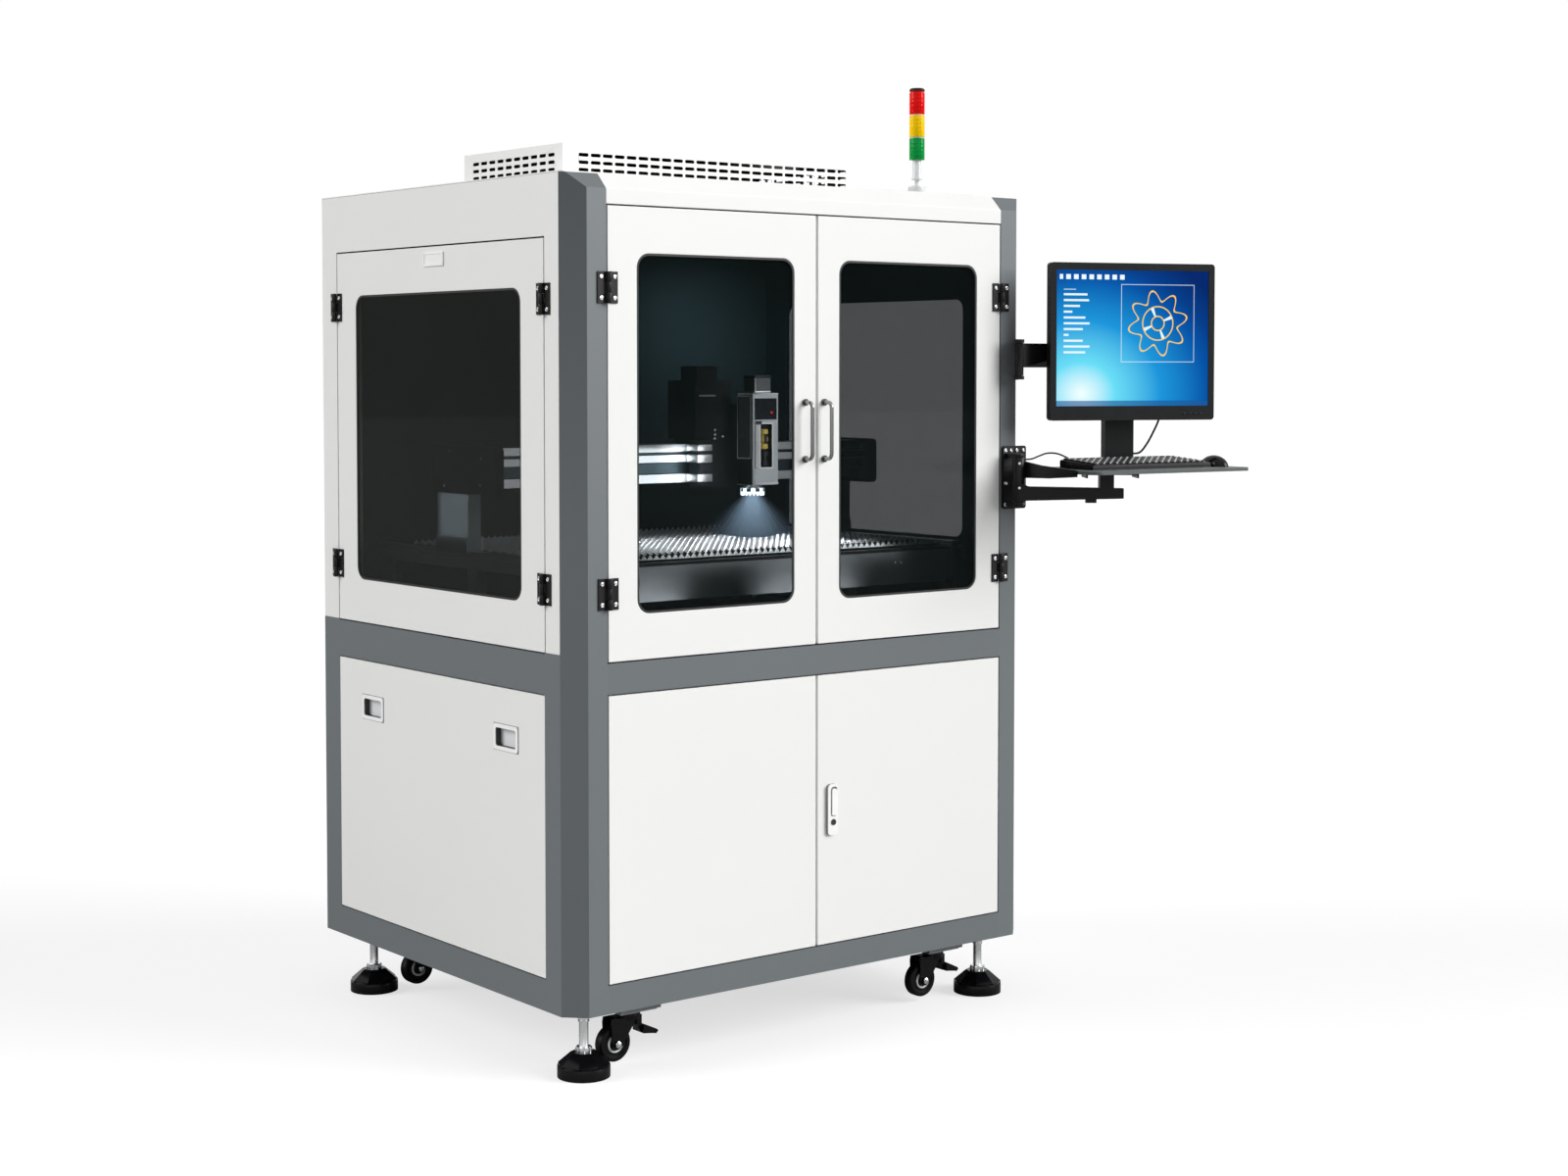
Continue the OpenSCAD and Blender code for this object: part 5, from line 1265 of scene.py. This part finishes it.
class ENGRAVER_OT_ring_leds(bpy.types.Operator):
    """Hangs the small lamps of the light ring below it"""
    bl_idname = "engraver.ring_leds"
    bl_label = "Ring lamps"

    def execute(self, context):
        angles = [math.radians(360.0 / RING_LED_COUNT * i) for i in range(RING_LED_COUNT)]
        set_out(turned("tooth", [(1.7, 0.0), (2.3, 1.2), (1.9, 3.6), (0.9, 4.6)], 10), "ring_leds", [
            ((LENS[0] + RING_LED_RADIUS * math.cos(a), LENS[1] + RING_LED_RADIUS * math.sin(a), 1008.2),
             (0, 0, -1)) for a in angles], "head", "ring_glow", "ring_white")
        return {"FINISHED"}


class ENGRAVER_OT_carriage_trim(bpy.types.Operator):
    """Adds the label, the runners' guards, the status lamps and the screws of the carriage's drive"""
    bl_idname = "engraver.carriage_trim"
    bl_label = "Carriage trim"

    def execute(self, context):
        framed_plate("drive_label", (610.0, 403.6, 1228.6), (656.0, 405.2, 1232.4), 1, 0.6, 0.3,
                     "carriage", "plate_white", "ring_white")
        # Guards in front of the runners, bent round the plate's edge
        for i, (low, high) in enumerate(((1106.4, 1120.4), (1080.0, 1097.6), (1037.0, 1053.6))):
            face = slab("face", (607.6, 406.8, low), (649.0, 408.9, high), 0.6)
            side = slab("side", (607.6, 407.6, low), (609.9, 449.0, high), 0.6)
            done(join("runner_guard_%d" % i, face, side), "carriage", "metal_guard", "gantry_aluminium")
        set_out(stud(2.2, 1.8), "drive_status", [
            ((x, 405.2, z), (0, -1, 0))
            for x, z in ((655.0, 1153.2), (655.0, 1142.7), (654.0, 1133.8), (677.0, 1138.0))],
            "carriage", "status_glow", "ring_white")
        set_out(screw_pattern(2.8, 2.0), "drive_screws", [
            ((x, 405.2, z), (0, -1, 0)) for x in (605.0, 691.0) for z in (1144.0, 1256.0)],
            "carriage", "metal_dark", "carriage_black")
        return {"FINISHED"}


class ENGRAVER_OT_beam_trim(bpy.types.Operator):
    """Adds the clamps and screws on the beam's end plates"""
    bl_idname = "engraver.beam_trim"
    bl_label = "Beam trim"

    def execute(self, context):
        for i, z in enumerate((1099.0, 1034.6)):
            framed_plate("beam_clamp_%d" % i, (1117.6, 446.6, z), (1131.4, 449.9, z + 18.6), 1, 2.4, 0.8,
                         "gantry", "metal_bright", "gantry_aluminium")
        set_out(screw_pattern(4.0, 3.0), "end_plate_screws", [
            ((x, y, z), (d, 0, 0)) for x, d in ((91.8, -1), (1148.2, 1))
            for y, z in ((485.0, 1098.0), (490.0, 1041.0), (616.0, 1112.0), (640.0, 1036.0))],
            "gantry", "metal_screw", "zinc")
        return {"FINISHED"}


# Station

class ENGRAVER_OT_station_trim(bpy.types.Operator):
    """Bolts the swing arm's bracket and its sleeve"""
    bl_idname = "engraver.station_trim"
    bl_label = "Station trim"

    def execute(self, context):
        spots = [(x, z) for x in (1164.5, 1181.0, 1198.5, 1219.0) for z in (985.0, 1107.0)]
        spots.append((1164.5, 1033.0))
        set_out(screw_pattern(4.6, 3.4), "bracket_bolts", [
            ((x, -6.1, z), (0, -1, 0)) for x, z in spots], "cabinet", "metal_screw", "zinc")
        # The sleeve is a cylinder about the arm's pivot; its screws stand on its surface
        pivot, radius, out = (1174.0, -40.0), 16.4, (-0.62, -0.78, 0)
        set_out(screw_pattern(3.4, 2.4), "sleeve_screws", [
            ((pivot[0] + out[0] * radius, pivot[1] + out[1] * radius, z), out) for z in (1024.0, 1079.0)],
            "station", "metal_screw", "zinc")
        return {"FINISHED"}


class ENGRAVER_OT_monitor_trim(bpy.types.Operator):
    """Adds the keys on the monitor's bezel"""
    bl_idname = "engraver.monitor_trim"
    bl_label = "Monitor trim"

    def execute(self, context):
        key = box_between("key", Vector((-mm(4), -mm(1.4), 0)), Vector((mm(4), mm(1.4), mm(1.2))), mm(0.4))
        turn = Matrix.Rotation(math.radians(STAND_TURN), 4, "Z") @ axes((1, 0, 0), (0, 0, 1), (0, -1, 0))
        obj = copies(key, "monitor_keys", [
            Matrix.Translation(on_stand(u, -79.1, 1189.0)) @ turn for u in (128, 142, 156, 170)])
        forget(key)
        done(obj, "display", "plastic_monitor", "monitor_black")
        return {"FINISHED"}


# Running gear

# The middle of each foot and of each caster's kingpin in plan, in the order of CORNERS
FEET = [(x, y) for y in (78.0, CAB_D - 78.0) for x in (78.0, CAB_W - 78.0)]
KINGPINS = [(x, y) for y in (95.0, CAB_D - 130.0) for x in (200.0, 1040.0)]
TRAIL, AXLE_Z = 40.0, -90.5


class ENGRAVER_OT_foot_covers(bpy.types.Operator):
    """Sets the eight-sided covers, the nuts and the rod collars on the levelling feet"""
    bl_idname = "engraver.foot_covers"
    bl_label = "Foot covers"

    def execute(self, context):
        # The hood stands just outside the cone, from the ring up to the nut
        hood = turned("hood", [(53.4, 0.0), (53.6, 1.0), (27.4, 23.4), (25.0, 24.6), (15.0, 24.8)], 8)
        nut = turned("nut", [(15.4, 0.0), (17.2, 1.6), (17.2, 9.6), (15.4, 12.4), (11.0, 12.8),
                             (10.6, 11.0)], 6)
        collar = turned("collar", [(9.8, 0.0), (11.6, 0.8), (11.6, 3.4), (9.9, 4.2), (9.9, 6.0),
                                   (12.6, 6.8), (12.6, 9.6)], 24)
        for corner, (x, y) in zip(CORNERS, FEET):
            for pattern, name, z, coat, smooth in (
                    (hood, "foot_hood_", -114.4, "plastic_gloss", 20.0),
                    (nut, "foot_nut_", -91.2, "metal_chrome", 25.0),
                    (collar, "foot_collar_", -29.0, "metal_chrome", 35.0)):
                obj = copies(pattern, name + corner, [spot((x, y, z))])
                done(obj, "foot_" + corner, coat, "foot_black", smooth)
        forget(hood, nut, collar)
        return {"FINISHED"}


class ENGRAVER_OT_caster_hubs(bpy.types.Operator):
    """Sets the plated hub rings and axle bolts on the casters"""
    bl_idname = "engraver.caster_hubs"
    bl_label = "Caster hubs"

    def execute(self, context):
        hub = turned("hub", [(18.6, 0.0), (19.2, 1.0), (18.2, 2.6), (15.0, 2.8), (14.2, 1.2)], 40)
        edit(hub)
        pick(hub, lambda c, n: abs(n.z) > 0.99 and c.xy.length < mm(1))
        bpy.ops.mesh.delete(type="FACE")
        leave(hub)
        bolt = turned("bolt", [(7.4, 0.0), (7.4, 1.6), (5.6, 2.4), (5.2, 4.0), (3.0, 4.6)], 6)
        for corner, (x, y) in zip(CORNERS, KINGPINS):
            for pattern, name, out, part, coat, slot in (
                    (hub, "hub_rings_", 9.2, "wheel_", "silver_paint", "caster_rubber"),
                    (bolt, "axle_bolts_", 21.8, "fork_", "metal_chrome", "caster_black")):
                ends = [spot((x - TRAIL, y + s * out, AXLE_Z), (0, s, 0)) for s in (-1, 1)]
                done(copies(pattern, name + corner, ends), part + corner, coat, slot)
        forget(hub, bolt)
        return {"FINISHED"}


# Cabinet fittings

class ENGRAVER_OT_cabinet_screws(bpy.types.Operator):
    """Sets the two screws in the bed's front"""
    bl_idname = "engraver.cabinet_screws"
    bl_label = "Cabinet screws"

    def execute(self, context):
        set_out(screw_pattern(3.2, 2.0), "bed_screws", [
            ((x, 117.9, 856.7), (0, -1, 0)) for x in (943.8, 960.9)], "cabinet", "metal_screw", "zinc")
        return {"FINISHED"}


# Panel and registration

# The operators in the order in which they run
STEPS = ["studio", "cables", "coats", "work_light", "hinge_screws", "seals", "name_plate", "head_trim",
         "ring_leds", "carriage_trim", "beam_trim", "station_trim", "monitor_trim", "foot_covers",
         "caster_hubs", "cabinet_screws"]


class ENGRAVER_PT_panel(bpy.types.Panel):
    """Lists the pieces that dress the engraving machine"""
    bl_idname = "ENGRAVER_PT_panel"
    bl_label = "Laser Engraving Machine"
    bl_space_type = "VIEW_3D"
    bl_region_type = "UI"
    bl_category = "Engraver"

    def draw(self, context):
        for group in (context.scene.engraver_sizes, context.scene.engraver_colours):
            for key in group.__annotations__:
                self.layout.prop(group, key)
        for step in STEPS:
            self.layout.operator("engraver." + step)


CLASSES = (EngraverColours, EngraverSizes, ENGRAVER_OT_studio, ENGRAVER_OT_cables, ENGRAVER_OT_coats,
           ENGRAVER_OT_work_light, ENGRAVER_OT_hinge_screws, ENGRAVER_OT_seals,
           ENGRAVER_OT_name_plate, ENGRAVER_OT_head_trim, ENGRAVER_OT_ring_leds,
           ENGRAVER_OT_carriage_trim, ENGRAVER_OT_beam_trim, ENGRAVER_OT_station_trim,
           ENGRAVER_OT_monitor_trim, ENGRAVER_OT_foot_covers, ENGRAVER_OT_caster_hubs,
           ENGRAVER_OT_cabinet_screws, ENGRAVER_PT_panel)


def register():
    for cls in CLASSES:
        bpy.utils.register_class(cls)
    bpy.types.Scene.engraver_sizes = bpy.props.PointerProperty(type=EngraverSizes)
    bpy.types.Scene.engraver_colours = bpy.props.PointerProperty(type=EngraverColours)


def unregister():
    del bpy.types.Scene.engraver_sizes
    del bpy.types.Scene.engraver_colours
    for cls in reversed(CLASSES):
        bpy.utils.unregister_class(cls)


def main():
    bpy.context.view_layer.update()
    register()
    make_finishes()
    for step in STEPS:
        getattr(bpy.ops.engraver, step)()


if __name__ == "__main__":
    main()
